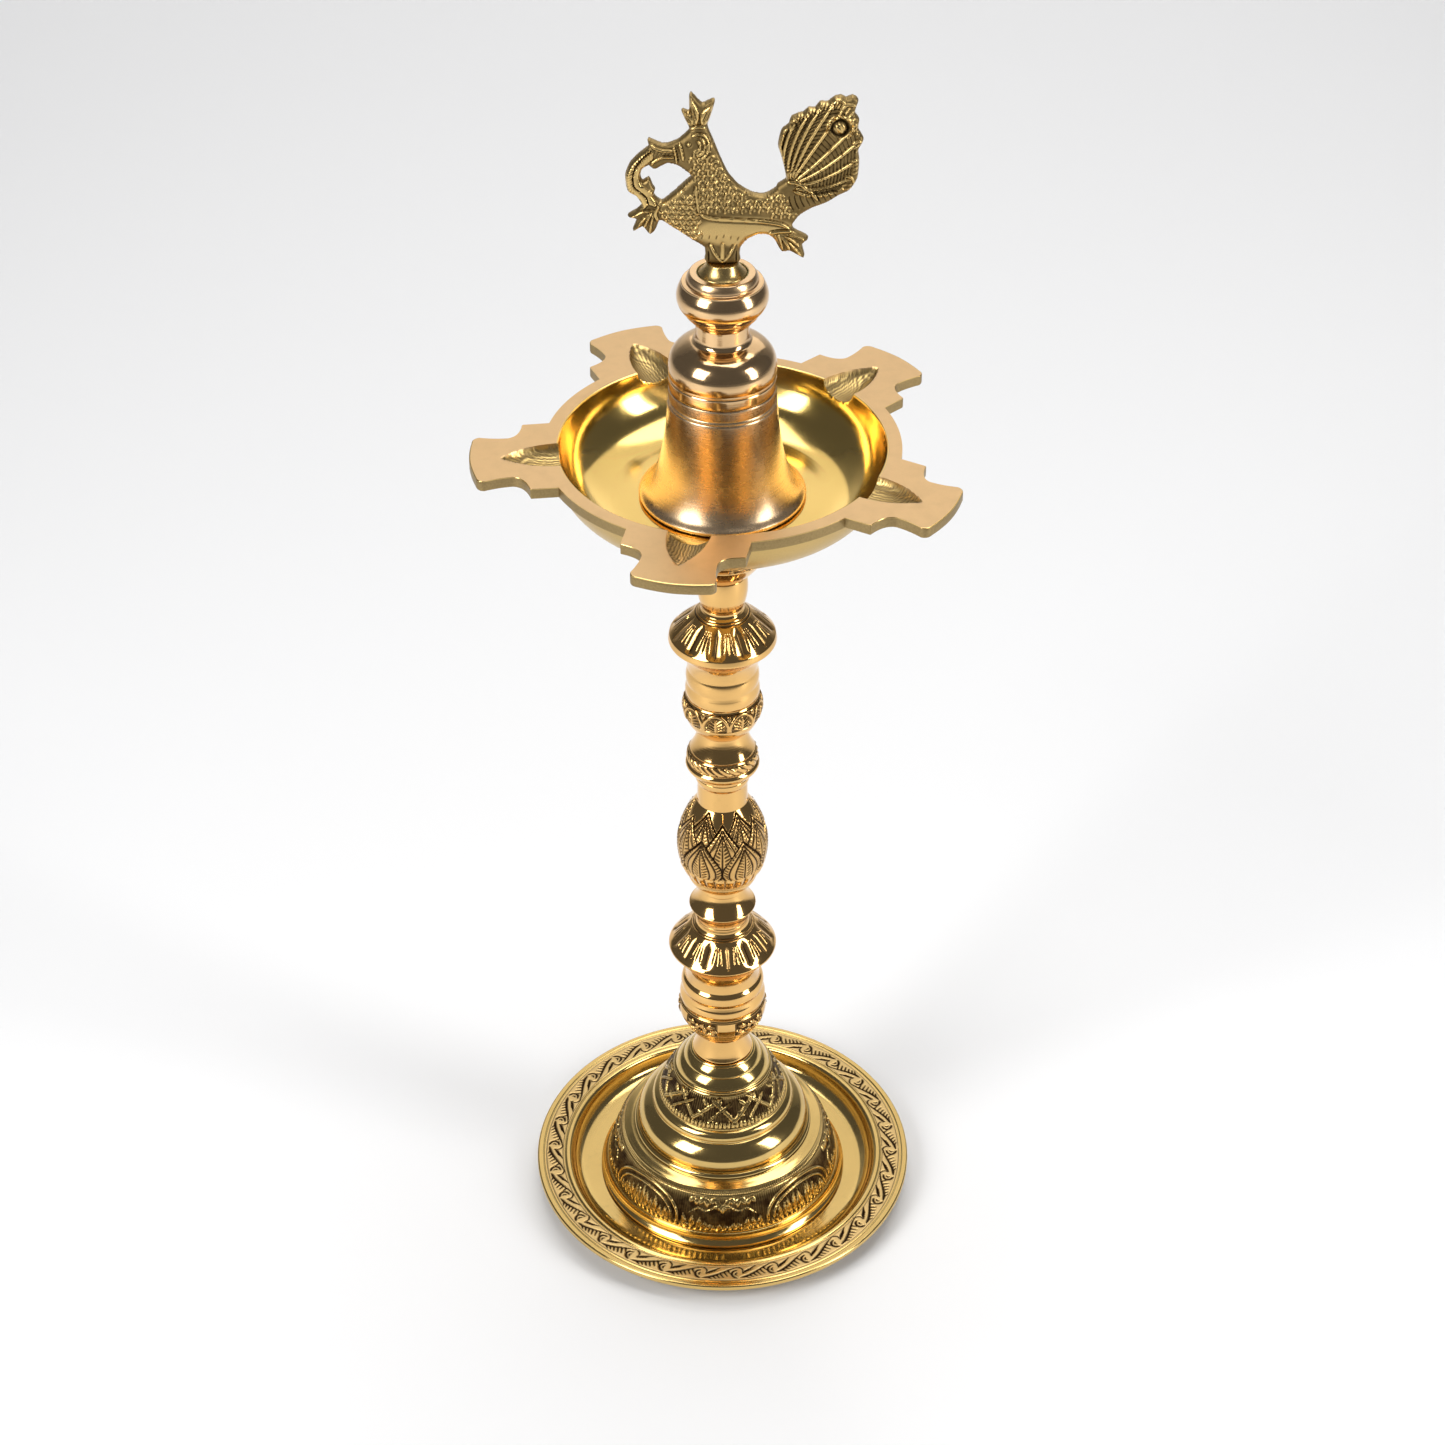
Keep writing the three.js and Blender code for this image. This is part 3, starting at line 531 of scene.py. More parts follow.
def dome_lower_pattern(dome):
    """The broad engraved band: four double arches full of tall grass blades, flower sprays
    hanging between them over fine hatch, and a row of ticks along the top."""
    band = dome.band("lower_band")
    top = band.v[-1]
    scale = top / 19.0
    count = 4
    repeat = band.around / count
    band.cut += np.clip(1.5 * np.sin(np.pi * np.clip(band.v / top * 1.12, 0, 1)), 0, 0.85)[:, None]
    ticks = band.columns // 3
    for n in range(ticks):
        u = 3 * n * band.pitch
        low = (0.4 + 0.5 * hand.random()) * scale
        high = (15.6 + 0.4 * hand.random()) * scale
        band.stroke([(u, low), (u, high)], 0.62, 0.16 + 0.08 * hand.random(), fade=(0.02, 0.02), dark=0.85)
    for k in range(count):
        centre = (k + 0.5) * repeat
        half = repeat * 0.24
        arch = lambda wide, high, low: curve(
            [(centre - wide, low * scale), (centre - wide * 0.93, (low + 0.45 * (high - low)) * scale),
             (centre - wide * 0.62, (low + 0.83 * (high - low)) * scale), (centre, high * scale),
             (centre + wide * 0.62, (low + 0.83 * (high - low)) * scale),
             (centre + wide * 0.93, (low + 0.45 * (high - low)) * scale), (centre + wide, low * scale)], 6)
        for n in range(13):
            t = (n + 0.5) / 13
            u = centre + (2 * t - 1) * half * 0.84
            high = (5.4 + 5.2 * np.sin(np.pi * t) + hand.normal(0, 0.9)) * scale
            band.leaf((u, 0.6 * scale), (u + hand.normal(0, 0.5), high), 2.3, 0.5, -0.16, vein=0.3, fat=0.6)
        for wide, high, low, cord in ((1.0, 14.8, 2.0, 1.3), (0.84, 12.2, 2.0, 1.05)):
            line = arch(half * wide, high, low)
            band.stroke(line, cord + 1.0, 0.34, fade=(0.01, 0.01))
            band.stroke(line, cord, -0.55, fade=(0.01, 0.01), level=-0.05)
        spray = (k + 1.0) * repeat
        for n in range(12):
            t = (n + 0.5) / 12
            u = spray + (2 * t - 1) * repeat * 0.235
            high = (5.0 + 1.4 * np.cos(6.3 * t) + hand.normal(0, 0.8)) * scale
            band.leaf((u, 0.5 * scale), (u + hand.normal(0, 0.5), high), 2.4, 0.5, -0.16, vein=0.3, fat=0.6)
        for side in (-1, 1):
            for a, b, c, fat in ((3.0, 15.2, 12.6, 2.5), (7.4, 15.6, 11.8, 2.6), (11.6, 15.0, 12.4, 2.3)):
                u = spray + side * a
                band.leaf((u, b * scale), (u + side * 2.2, c * scale), fat, 0.4, -0.02, vein=0.5)
                band.leaf((u - side * 0.6, (b - 0.4) * scale), (u - side * 1.5, (c - 0.8) * scale),
                          fat * 0.8, 0.36, -0.02, vein=0.5)
            tendril = curve([(spray + side * 1.2, 13.4 * scale), (spray + side * 3.6, 11.0 * scale),
                             (spray + side * 6.8, 9.4 * scale), (spray + side * 9.6, 10.4 * scale),
                             (spray + side * 11.6, 9.0 * scale), (spray + side * 13.4, 7.2 * scale)], 6)
            band.stroke(tendril, 1.5, 0.26, fade=(0.1, 0.2))
            band.stroke(tendril, 0.7, -0.36, fade=(0.1, 0.2), level=-0.06)
        for petal in range(7):
            angle = np.pi * (petal / 6) + np.pi
            reach = 3.5 if petal % 2 else 2.9
            band.leaf((spray + 0.7 * np.cos(angle), (12.9 + 0.6 * np.sin(angle)) * scale),
                      (spray + reach * np.cos(angle), (12.9 + reach * 1.25 * np.sin(angle)) * scale),
                      1.9, 0.44, 0.0, vein=0.45)
    teeth = int(band.around / 2.1)
    for n in range(teeth):
        u = n * band.around / teeth + hand.normal(0, 0.1)
        band.leaf((u, -0.4), (u + 0.15, (2.4 + 0.8 * hand.random()) * scale), 1.5, 0.36, -0.1, vein=0, fat=0.7)
    round_lines(band, (16.5 * scale,), 0.5, 0.2)
    for n in range(ticks):
        u = 3 * n * band.pitch
        band.stroke([(u, 17.0 * scale), (u, 18.5 * scale)], 0.62, 0.24, fade=(0.15, 0.15))
    dome.add(band)


def dome_upper_pattern(dome):
    """The narrow engraved band: flat ribs crossing to and fro in zigzags with hatched
    fields between them, and a row of short bright teeth at its foot."""
    band = dome.band("upper_band")
    top = band.v[-1]
    scale = top / 14.6
    ticks = band.columns // 6
    band.cut += np.clip(2.4 * np.sin(np.pi * band.v / top), 0, 0.85)[:, None]
    for n in range(ticks):
        u = 6 * n * band.pitch
        band.stroke([(u, 0.6 * scale), (u, 13.9 * scale)], 0.66, 0.22, fade=(0.02, 0.02), dark=0.9)
    count = 9
    repeat = band.around / count
    for k in range(count):
        u = k * repeat
        ribs = (((0, 2.8), (0.33, 8.4), (0.72, 13.6)), ((1.05, 2.8), (0.86, 7.2), (0.44, 13.4)),
                ((0.42, 3.4), (0.62, 7.0), (0.98, 11.6)))
        for n, rib in enumerate(ribs):
            line = curve([(u + a * repeat + hand.normal(0, 0.1), b * scale) for a, b in rib], 5)
            wide = 1.75 if n < 2 else 1.2
            band.stroke(line, wide + 1.0, 0.36, fade=(0.03, 0.03))
            band.stroke(line, wide, -0.5, fade=(0.05, 0.12), level=-0.04)
            band.stroke(line, 0.6, 0.2, fade=(0.1, 0.1), dark=0.7)
        for a, b, c, d in ((0.2, 12.6, 0.42, 9.2), (0.72, 12.8, 0.6, 9.6), (0.12, 7.4, 0.3, 5.0)):
            band.leaf((u + a * repeat, b * scale), (u + c * repeat, d * scale), 1.5, 0.34, -0.04, vein=0.4)
    teeth = int(band.around / 1.5)
    for n in range(teeth):
        u = n * band.around / teeth
        band.leaf((u, 0.3 * scale), (u + 0.1, (3.1 + 0.4 * hand.random()) * scale), 1.15, 0.36, -0.08, vein=0,
                  fat=0.7)
    round_lines(band, (0.35 * scale, 14.1 * scale), 0.4, 0.18)
    dome.add(band)


def make_base():
    """Saucer, dome and boss, each a turned section; the stud's thread is a helix, its radius
    a triangle wave of height over the lead less the turn."""
    plate = Turned("base_saucer", (
        Contour(0, 0).to(50, 0, 3).to(54, 0, 1.5).bow(60.5, 6.8, 1.2, 1)
        .to(74.2, 7.3, 1.2).to(74.9, 7.8, 0.5).to(75, 8.3, 0.4).to(75, 9.3, 0.4)
        .bow(74.1, 10, 0.25, 0.25).to(72.9, 10, 0.4).to(72.5, 9.72, 0.25)
        .to(72.2, 9.85, 0.2).to(64.2, 9.95, 0.27, "rim").to(63.9, 9.7, 0.2).to(63.6, 9.95, 0.2)
        .bow(61, 9, 0.55, 0.35).bow(54.3, 3.3, -1.6, 0.45).to(52, 3.2, 0.8).to(0, 3.2, 4)), 1440, ["rim"])
    saucer_patterns(plate)
    rim = np.isin(plate.tags, ["rim"])
    plate.satin = np.where(rim, 1.0, 0.0)
    under = (plate.rows[:, 1] < 7.4) & (np.arange(len(rim)) < np.argmax(rim))
    plate.raw = np.where(under, 0.7, 0.0)
    plate.piece("saucer_plate", "base", BASE_BRASS, "base_brass")

    shell = Turned("base_dome", (
        Contour(45.8, 0).to(49.1, 0, 1.5).to(49.2, 0.3, 0.3).to(49.05, 1.1, 0.5)
        .bow(46.7, 5.3, -0.55, 0.5).to(46.3, 5.5, 0.3).to(46.1, 5.2, 0.25).to(45.9, 5.7, 0.25)
        .bow(39.4, 22.9, 0.95, 0.31, "lower_band").to(38.4, 23.1, 0.3).to(36.9, 23.5, 0.5)
        .to(35.2, 23.8, 0.6).bow(34.2, 26.1, 0.55, 0.3).to(33.9, 25.9, 0.2)
        .bow(28.3, 36.6, 1.95, 0.5).to(28.0, 36.7, 0.2).to(27.9, 37.2, 0.2)
        .bow(25.6, 40.7, 0.75, 0.4).to(25.2, 40.8, 0.2).to(25.2, 41.2, 0.2)
        .bow(19.3, 53.8, 0.55, 0.27, "upper_band").to(19.0, 54.1, 0.3).to(7.0, 54.1, 2)
        .to(7.0, 51.1, 1.5).to(16.2, 51.1, 2).to(23.1, 40, 3).to(26.7, 32.5, 3).to(31.2, 23.8, 3)
        .to(36.0, 20.6, 3).to(42.9, 5.4, 3)), 840, ["lower_band"], ease=0.22)
    dome_lower_pattern(shell)
    dome_upper_pattern(shell)
    last_cut = np.nonzero(shell.tags == "upper_band")[0].max()
    shell.raw = np.where(np.arange(len(shell.rows)) > last_cut + 8, 0.8, 0)
    shell.piece("engraved_dome", "base", BASE_BRASS, "base_brass")

    boss = Turned("base_boss", (
        Contour(0, -10.8).to(6.0, -10.8, 1.5).to(6.6, -10, 0.5).to(6.6, 0, 1.2).to(18.9, 0, 1.5)
        .to(19.2, 0.15, 0.2).to(19.2, 0.6, 0.2).to(18.7, 0.95, 0.25).groove(0.5, 0.12)
        .bow(15.5, 5.1, 0.3, 0.35).groove(0.45, 0.14).bow(12.9, 8.4, 0.2, 0.3).groove(0.4, 0.12)
        .to(12.1, 9.1, 0.2).to(7.5, 9.1, 0.6).to(7.0, 8.9, 0.2).to(6.6, 9.1, 0.2)
        .to(6.6, 14.1, 0.5).to(6.35, 14.5, 0.15, "stud").to(6.35, 20.3, 0.15, "stud")
        .to(6.2, 20.6, 0.15, "stud").to(5.65, 21.1, 0.3).to(1.6, 21.1, 0.5).to(0, 20.1, 0.5)), 240, ease=0.18)
    cut_thread(boss, "stud", 1.5, 6.35, 6.9)
    tip = (boss.rows[:, 0] < 5.9) & (boss.rows[:, 1] > 60)
    boss.raw = np.where(boss.tags == "stud", 0.75, 0) + np.where(tip, 1, 0)
    boss.piece("turned_boss", "base", BASE_BRASS, "base_brass")


def cut_thread(turned, tag, lead, root, crest):
    """Lifts the tagged rows to a screw thread: a triangle wave of height over the lead less
    the part of a turn gone round, with its hollows darker."""
    rows = np.nonzero(turned.tags == tag)[0]
    height = turned.rows[rows, 1][:, None]
    phase = (height / lead - turned.angle[None, :] / TURN) % 1
    wave = 1 - np.abs(2 * phase - 1)
    ends = np.clip(np.minimum(height - height.min(), height.max() - height) / (0.6 * lead), 0, 1)
    turned.lift[rows] = (crest - root) * np.clip(1.25 * wave - 0.1, 0, 1) * ends
    turned.cut[rows] = 0.75 * (1 - wave) * ends


make_base()


# ---------------------------------------------------------------- stem

def flutes(band, count, height, power=0.5, twist=0.0):
    """Rounded flutes: the lift is the height times a power of the sine of the way across
    each, which leaves a dark seam between neighbours; `twist` leans them as they rise."""
    share = band.v[:, None] / band.v[-1]
    across = (band.u[None, :] / band.around * count + twist * share) % 1
    dome = np.sin(np.pi * across)
    band.lift += height * dome ** power - 0.6 * height
    band.cut = np.maximum(band.cut, 0.9 * (1 - dome) ** 5)


def flower(band, u, v, size, petals, level=0.0):
    """A flower: raised petals round a centre with a dark ring cut round it."""
    for n in range(petals):
        angle = TURN * (n + 0.25) / petals
        way = np.array((np.cos(angle), np.sin(angle)))
        band.leaf((u, v) + 0.22 * size * way, (u, v) + size * way, 0.62 * size, 0.42, level, vein=0.4)
    ring = [(u + 0.24 * size * np.cos(a), v + 0.24 * size * np.sin(a)) for a in np.linspace(0, TURN, 9)]
    band.stroke(ring, 0.5, 0.22, fade=EVEN)


def ring_flowers(band, count, share):
    """Clusters of a flower, curled leaves and close hatch, with a plain stretch after each."""
    top = band.v[-1]
    repeat = band.around / count
    for k in range(count):
        u = k * repeat
        wide = share * repeat
        columns = int(wide / (3 * band.pitch))
        rows = (band.v > 0.6) & (band.v < top - 0.6)
        inside = ((band.u > u) & (band.u < u + wide))[None, :] & rows[:, None]
        band.cut = np.where(inside, 0.7, band.cut)
        band.lift = np.where(inside, -0.12, band.lift)
        for n in range(columns):
            x = np.round((u + 3 * n * band.pitch) / band.pitch) * band.pitch
            band.stroke([(x, 0.9), (x, top - 0.9)], 0.62, 0.24, fade=(0.02, 0.02))
        middle = u + wide / 2
        for side in (-1, 1):
            for a, b, c, d, fat in ((0.16, 0.25, 0.4, 0.2, 2.1), (0.18, 0.72, 0.44, 0.78, 2.1),
                                    (0.3, 0.48, 0.5, 0.5, 2.2)):
                band.leaf((middle + side * a * wide, b * top), (middle + side * c * wide, d * top),
                          fat, 0.45, 0.0)
            line = curve([(middle + side * 0.1 * wide, 0.12 * top), (middle + side * 0.3 * wide, 0.34 * top),
                          (middle + side * 0.48 * wide, 0.3 * top)], 5)
            band.stroke(line, 0.7, -0.4, level=-0.05)
        flower(band, middle, 0.5 * top, 0.36 * top, 6)
    round_lines(band, (0.35, top - 0.35), 0.5, 0.22)


def petal_ring(band, count):
    """Broad upright petals side by side, each with a raised edge, a middle vein and slanting
    side veins, over a dark sunk ground."""
    top = band.v[-1]
    repeat = band.around / count
    band.lift -= 0.18
    band.cut += 0.7
    for k in range(count):
        u = (k + 0.5) * repeat
        half = 0.46 * repeat
        arch = curve([(u - half, 0.6), (u - half * 0.98, 0.42 * top), (u - half * 0.6, 0.78 * top),
                      (u, top - 0.7), (u + half * 0.6, 0.78 * top), (u + half * 0.98, 0.42 * top),
                      (u + half, 0.6)], 5)
        band.stroke(arch, 1.15, -0.34, fade=EVEN, level=-0.02)
        band.stroke([(u, 0.5), (u, 0.8 * top)], 0.9, -0.3, fade=(0.02, 0.3), level=-0.04)
        for side in (-1, 1):
            for n in range(4):
                v = (0.1 + 0.15 * n) * top
                band.stroke([(u + side * 0.3, v), (u + side * half * (0.8 - 0.1 * n), v + 0.2 * top)],
                            0.62, -0.26, fade=(0.05, 0.3), level=-0.08)
        spur = (k + 1) * repeat
        band.leaf((spur, top - 0.4), (spur, 0.62 * top), 1.6, 0.36, -0.05)
    round_lines(band, (0.25, top - 0.3), 0.45, 0.2)


def cone_petals(band, count):
    """The carved top of a bell rim: petals that narrow towards the top, a deep V cut between
    each two and a fine cut down the middle of each, ending in turned lines."""
    top = band.v[-1]
    share = band.v[:, None] / top
    across = (band.u[None, :] / band.around * count) % 1
    dome = np.sin(np.pi * across)
    fade = np.clip((0.8 - share) * 5, 0, 1) * np.clip(share * 9, 0, 1)
    band.lift += fade * (0.75 * dome ** 0.6 - 0.7)
    band.cut = np.maximum(band.cut, fade * (1 - dome) ** 4)
    repeat = band.around / count
    for k in range(count):
        u = (k + 0.5) * repeat
        for side in (-1, 0, 1):
            band.stroke([(u + side * 0.22 * repeat, 0.16 * top), (u + side * 0.12 * repeat, 0.66 * top)],
                        0.6, 0.2, fade=(0.2, 0.4), dark=0.7)
    round_lines(band, (0.84 * top, 0.91 * top), 0.55, 0.22)


def vase_leaves(band, count):
    """Three staggered rings of long pointed leaves over the bulb, each ring overlapping the
    one above it. A leaf is a pointed arch with two more inside it and a middle vein, all cut
    as dark lines, with short slanting hatch between the lines."""
    top = band.v[-1]
    repeat = band.around / count
    for row, (low, high) in enumerate(((0.36, 1.0), (0.16, 0.86), (0.0, 0.6))):
        for k in range(count):
            u = (k + 0.5 * (row % 2)) * repeat
            half = 0.5 * repeat
            heights = np.linspace(low * top, high * top, 9)
            widths = half * np.array([0.86, 1.0, 1.0, 0.92, 0.78, 0.6, 0.4, 0.19, 0.0])
            swell = 1 - np.abs((band.u[None, :] - u + band.around / 2) % band.around - band.around / 2) / (
                np.interp(band.v, heights, widths, left=0, right=0)[:, None] + 1e-6)
            face = np.clip(swell, 0, 1)
            band.lift = np.where(swell > 0, -0.3 + 0.55 * face ** 0.6, band.lift)
            band.cut = np.where(swell > 0, 0.15, band.cut)
            for inset, width, depth in ((1.0, 0.95, 0.42), (0.7, 0.8, 0.3), (0.42, 0.75, 0.26)):
                rise = np.linspace(heights[0], heights[-1] - (1 - inset) * 0.34 * (heights[-1] - heights[0]), 9)
                for side in (-1, 1):
                    line = np.stack([u + side * widths * inset, rise], 1)
                    band.stroke(curve(line, 3), width, depth, fade=(0.01, 0.03))
            band.stroke([(u, heights[0]), (u, heights[6])], 0.7, 0.26, fade=(0.02, 0.4))
            for side in (-1, 1):
                for n in range(11):
                    v = heights[0] + (0.05 + 0.078 * n) * (heights[-1] - heights[0])
                    reach = np.interp(v, heights, widths)
                    for start, end in ((0.1, 0.36), (0.76, 0.96)):
                        band.stroke([(u + side * reach * start, v), (u + side * reach * end, v + 1.3)],
                                    0.6, 0.24, fade=(0.05, 0.3), dark=0.85)


def rope(band, count):
    """A ring of slanting cuts, like a laid rope."""
    top = band.v[-1]
    flutes(band, count, 0.55, 0.6, twist=1.3)
    round_lines(band, (0.3, top - 0.25), 0.5, 0.25)


def scroll_band(band, count):
    """C-shaped scrolls turned to and fro with a bud between, hatch behind them."""
    top = band.v[-1]
    repeat = band.around / count
    for k in range(count):
        u = (k + 0.5) * repeat
        rows = (band.v > 0.6) & (band.v < top - 0.6)
        inside = (np.abs(band.u - u) < 0.33 * repeat)[None, :] & rows[:, None]
        band.cut = np.where(inside, 0.7, band.cut)
        for n in range(int(0.62 * repeat / (3 * band.pitch))):
            x = np.round((u - 0.31 * repeat) / band.pitch + 3 * n) * band.pitch
            band.stroke([(x, 0.9), (x, top - 0.9)], 0.6, 0.22, fade=(0.02, 0.02))
        for side in (-1, 1):
            angles = np.linspace(0.4, 5.4, 12)
            sizes = np.linspace(0.36, 0.1, 12) * top
            line = np.stack([u + side * (0.19 * repeat - np.cos(angles) * sizes),
                             0.5 * top + np.sin(angles) * sizes], 1)
            band.stroke(line, 1.25, 0.26, fade=(0.05, 0.1))
            band.stroke(line, 0.7, -0.4, fade=(0.05, 0.2), level=-0.06)
        band.leaf((u, 0.12 * top), (u, 0.9 * top), 1.6, 0.4, 0.0)
    round_lines(band, (0.35, top - 0.35), 0.45, 0.2)


def make_stem():
    """The six castings from mouth to cup, each a turned section with its carved bands."""
    lower = Turned("stem_lower_section", (
        Contour(9.7, 0).to(11.3, 0, 0.8).to(11.7, 0.35, 0.3).bow(9.65, 9.6, -0.55, 0.8)
        .to(9.75, 10.0, 0.3).bow(14.7, 16.7, 0.75, 0.6).to(14.9, 17.2, 0.3)
        .bow(16.3, 25.9, 1.15, 0.27, "ring").to(15.7, 26.3, 0.3).bow(15.9, 31.0, 0.65, 0.6)
        .to(15.4, 32.4, 0.4).to(15.45, 32.8, 0.3).bow(15.3, 37.6, 0.5, 0.6).to(14.3, 38.8, 0.4)
        .to(14.3, 39.4, 0.3).bow(20.3, 53.6, -1.9, 0.6).to(20.5, 54.3, 0.3).to(19.9, 55.1, 0.3)
        .bow(10.1, 65.4, 0.35, 0.3, "cone").to(9.9, 66.2, 0.3).to(9.75, 66.5, 0.2).to(9.85, 67, 0.2)
        .to(9.8, 67.6, 0.3).to(5.2, 67.6, 1.5).to(5.2, 15.3, 5).to(8.35, 15.3, 1).to(8.35, 4.3, 2)
        .to(9.7, 0.2, 1)), 480)
    ring = lower.band("ring")
    ring_flowers(ring, 5, 0.66)
    lower.add(ring)
    cone = lower.band("cone")
    cone_petals(cone, 13)
    lower.add(cone)
    lower.raw = np.where((lower.rows[:, 0] < 9.72) & (np.arange(len(lower.rows)) > len(lower.rows) / 2), 1.0, 0)
    lower.piece("stem_foot", "stem", STEM_BRASS, "stem_brass")

    Turned("stem_bead", (
        Contour(5.2, 0).to(9.7, 0, 1).to(9.85, 0.2, 0.2).bow(12.3, 5.9, -0.65, 0.6).to(12.6, 6.3, 0.2)
        .to(12.6, 6.7, 0.2).to(12.1, 7.1, 0.2).bow(8.3, 14.1, -0.6, 0.6).to(8.2, 14.3, 0.2)
        .to(5.2, 14.3, 1).to(5.2, 0.4, 4)), 240).piece("stem_lower_bead", "stem", STEM_BRASS, "stem_brass")

    vase = Turned("stem_vase", (
        Contour(5.2, 0).to(8.2, 0, 1).to(8.3, 0.2, 0.2).groove(0.5, 0.12).groove(0.5, 0.12).to(8.5, 2.9, 0.5)
        .bow(12.75, 7.9, 0.95, 0.4).to(12.6, 8.2, 0.2).to(12.85, 8.5, 0.2).to(12.7, 8.8, 0.2)
        .bow(15.5, 14.9, 0.35, 0.3, "gadroon").bow(9.3, 42, 3.1, 0.3, "leaves").to(9.0, 42.4, 0.3)
        .to(8.95, 46, 0.7).to(8.85, 50.9, 0.8).to(9.1, 51.4, 0.3).to(9.3, 51.7, 0.3).bow(9.75, 54.3, 0.15, 0.5)
        .to(9.55, 54.6, 0.2).to(9.9, 54.9, 0.2).to(9.9, 55.8, 0.4).to(9.75, 56.1, 0.2)
        .bow(12.9, 58.9, 0.5, 0.35).bow(12.5, 60.7, 0.35, 0.3).to(12.2, 61, 0.2)
        .bow(11.9, 65.5, 0.45, 0.26, "rope").to(11.5, 65.9, 0.2).to(11.4, 66, 0.2)
        .to(5.2, 66, 1.5).to(5.2, 0.4, 5)), 400)
    gadroon, leaves, cord = (vase.band(tag) for tag in ("gadroon", "leaves", "rope"))
    flutes(gadroon, 25, 0.62)
    vase_leaves(leaves, 6)
    rope(cord, 26)
    for patch in (gadroon, leaves, cord):
        vase.add(patch)
    vase.piece("stem_leaf_vase", "stem", STEM_BRASS, "stem_brass")

    upper = Turned("stem_upper_section", (
        Contour(5.2, 0).to(11.5, 0, 1.2).to(11.9, 0.3, 0.3).bow(8.9, 8.4, -0.35, 0.6).to(8.95, 8.8, 0.2)
        .bow(13.4, 15.5, 0.6, 0.6).to(13.5, 15.9, 0.2).bow(13.3, 24.1, 1.0, 0.27, "ring").to(12.9, 24.5, 0.2)
        .bow(13.1, 29.2, 0.4, 0.6).to(12.85, 30.4, 0.3).bow(12.8, 35.4, 0.35, 0.6).to(12.5, 36.4, 0.3)
        .to(12.6, 36.8, 0.2).bow(19.1, 48.3, -1.7, 0.6).to(19.3, 48.9, 0.3).to(18.9, 50.9, 0.5)
        .bow(7.7, 61.4, 0.3, 0.3, "cone").to(7.5, 62, 0.2).to(7.35, 62.3, 0.2).to(7.4, 63.1, 0.3)
        .to(5.2, 63.1, 1).to(5.2, 0.4, 5)), 440)
    ring = upper.band("ring")
    petal_ring(ring, 9)
    upper.add(ring)
    cone = upper.band("cone")
    cone_petals(cone, 11)
    upper.add(cone)
    upper.piece("stem_upper_bell", "stem", STEM_BRASS, "stem_brass")

    Turned("stem_collar_bead", (
        Contour(5.2, 0).to(7.4, 0, 0.6).to(7.6, 0.3, 0.2).bow(8.6, 12.9, 0.85, 0.6).to(8.5, 13.1, 0.2)
        .to(5.2, 13.1, 0.8).to(5.2, 0.3, 3)), 200).piece("stem_upper_bead", "stem", STEM_BRASS, "stem_brass")

    cup = Turned("stem_cup", (
        Contour(5.2, 0).to(8.5, 0, 0.8).to(8.7, 0.25, 0.2).bow(15.8, 9.4, 0.45, 0.6).to(15.75, 9.7, 0.2)
        .bow(20.8, 15.4, 0.5, 0.26, "scroll").to(20.7, 15.7, 0.2).bow(21.7, 23.2, 0.95, 0.6).to(21.4, 23.5, 0.2)
        .to(21.45, 23.9, 0.2).bow(20.1, 29.6, 0.25, 0.6).to(19.9, 29.9, 0.2).to(17.9, 29.9, 0.6)
        .to(17.8, 29.7, 0.2).to(8.6, 16.1, 2).to(6.6, 14.1, 1).to(6.6, 4.8, 2)
        .to(5.2, 4.8, 0.6).to(5.2, 0.3, 2)),
        480)
    scroll = cup.band("scroll")
    scroll_band(scroll, 8)
    cup.add(scroll)
    cup.piece("stem_dish_cup", "stem", STEM_BRASS, "stem_brass")


make_stem()


# ---------------------------------------------------------------- oil dish

STUD_HOLE = 5.35
BOWL_RADIUS, RING_RADIUS, TIP_RADIUS, SHELL_RADIUS = 55.5, 60.7, 85.5, 58.1
BOWL_DEPTH, PLATE, PAN_WALL, FLOOR_RADIUS = 19.6, 3.8, 2.6, 38.0
ARM_COUNT, ARM_TURN, ARM_SHOULDER = 5, np.radians(43), 20.6
ARM_ROOT = np.sqrt(RING_RADIUS ** 2 - ARM_SHOULDER ** 2)
SPOUT_LENGTH, SPOUT_HALF, SPOUT_DEPTH, SPOUT_SKIN = 19.5, 7.2, 5.0, 2.2


def quadratic(start, pull, end, count):
    """Points of the parabola that leaves `start` towards `pull` and arrives at `end` from it,
    the last point left out."""
    t = np.arange(count)[:, None] / count
    start, pull, end = (np.array(p, float) for p in (start, pull, end))
    return start * (1 - t) ** 2 + 2 * pull * t * (1 - t) + end * t ** 2


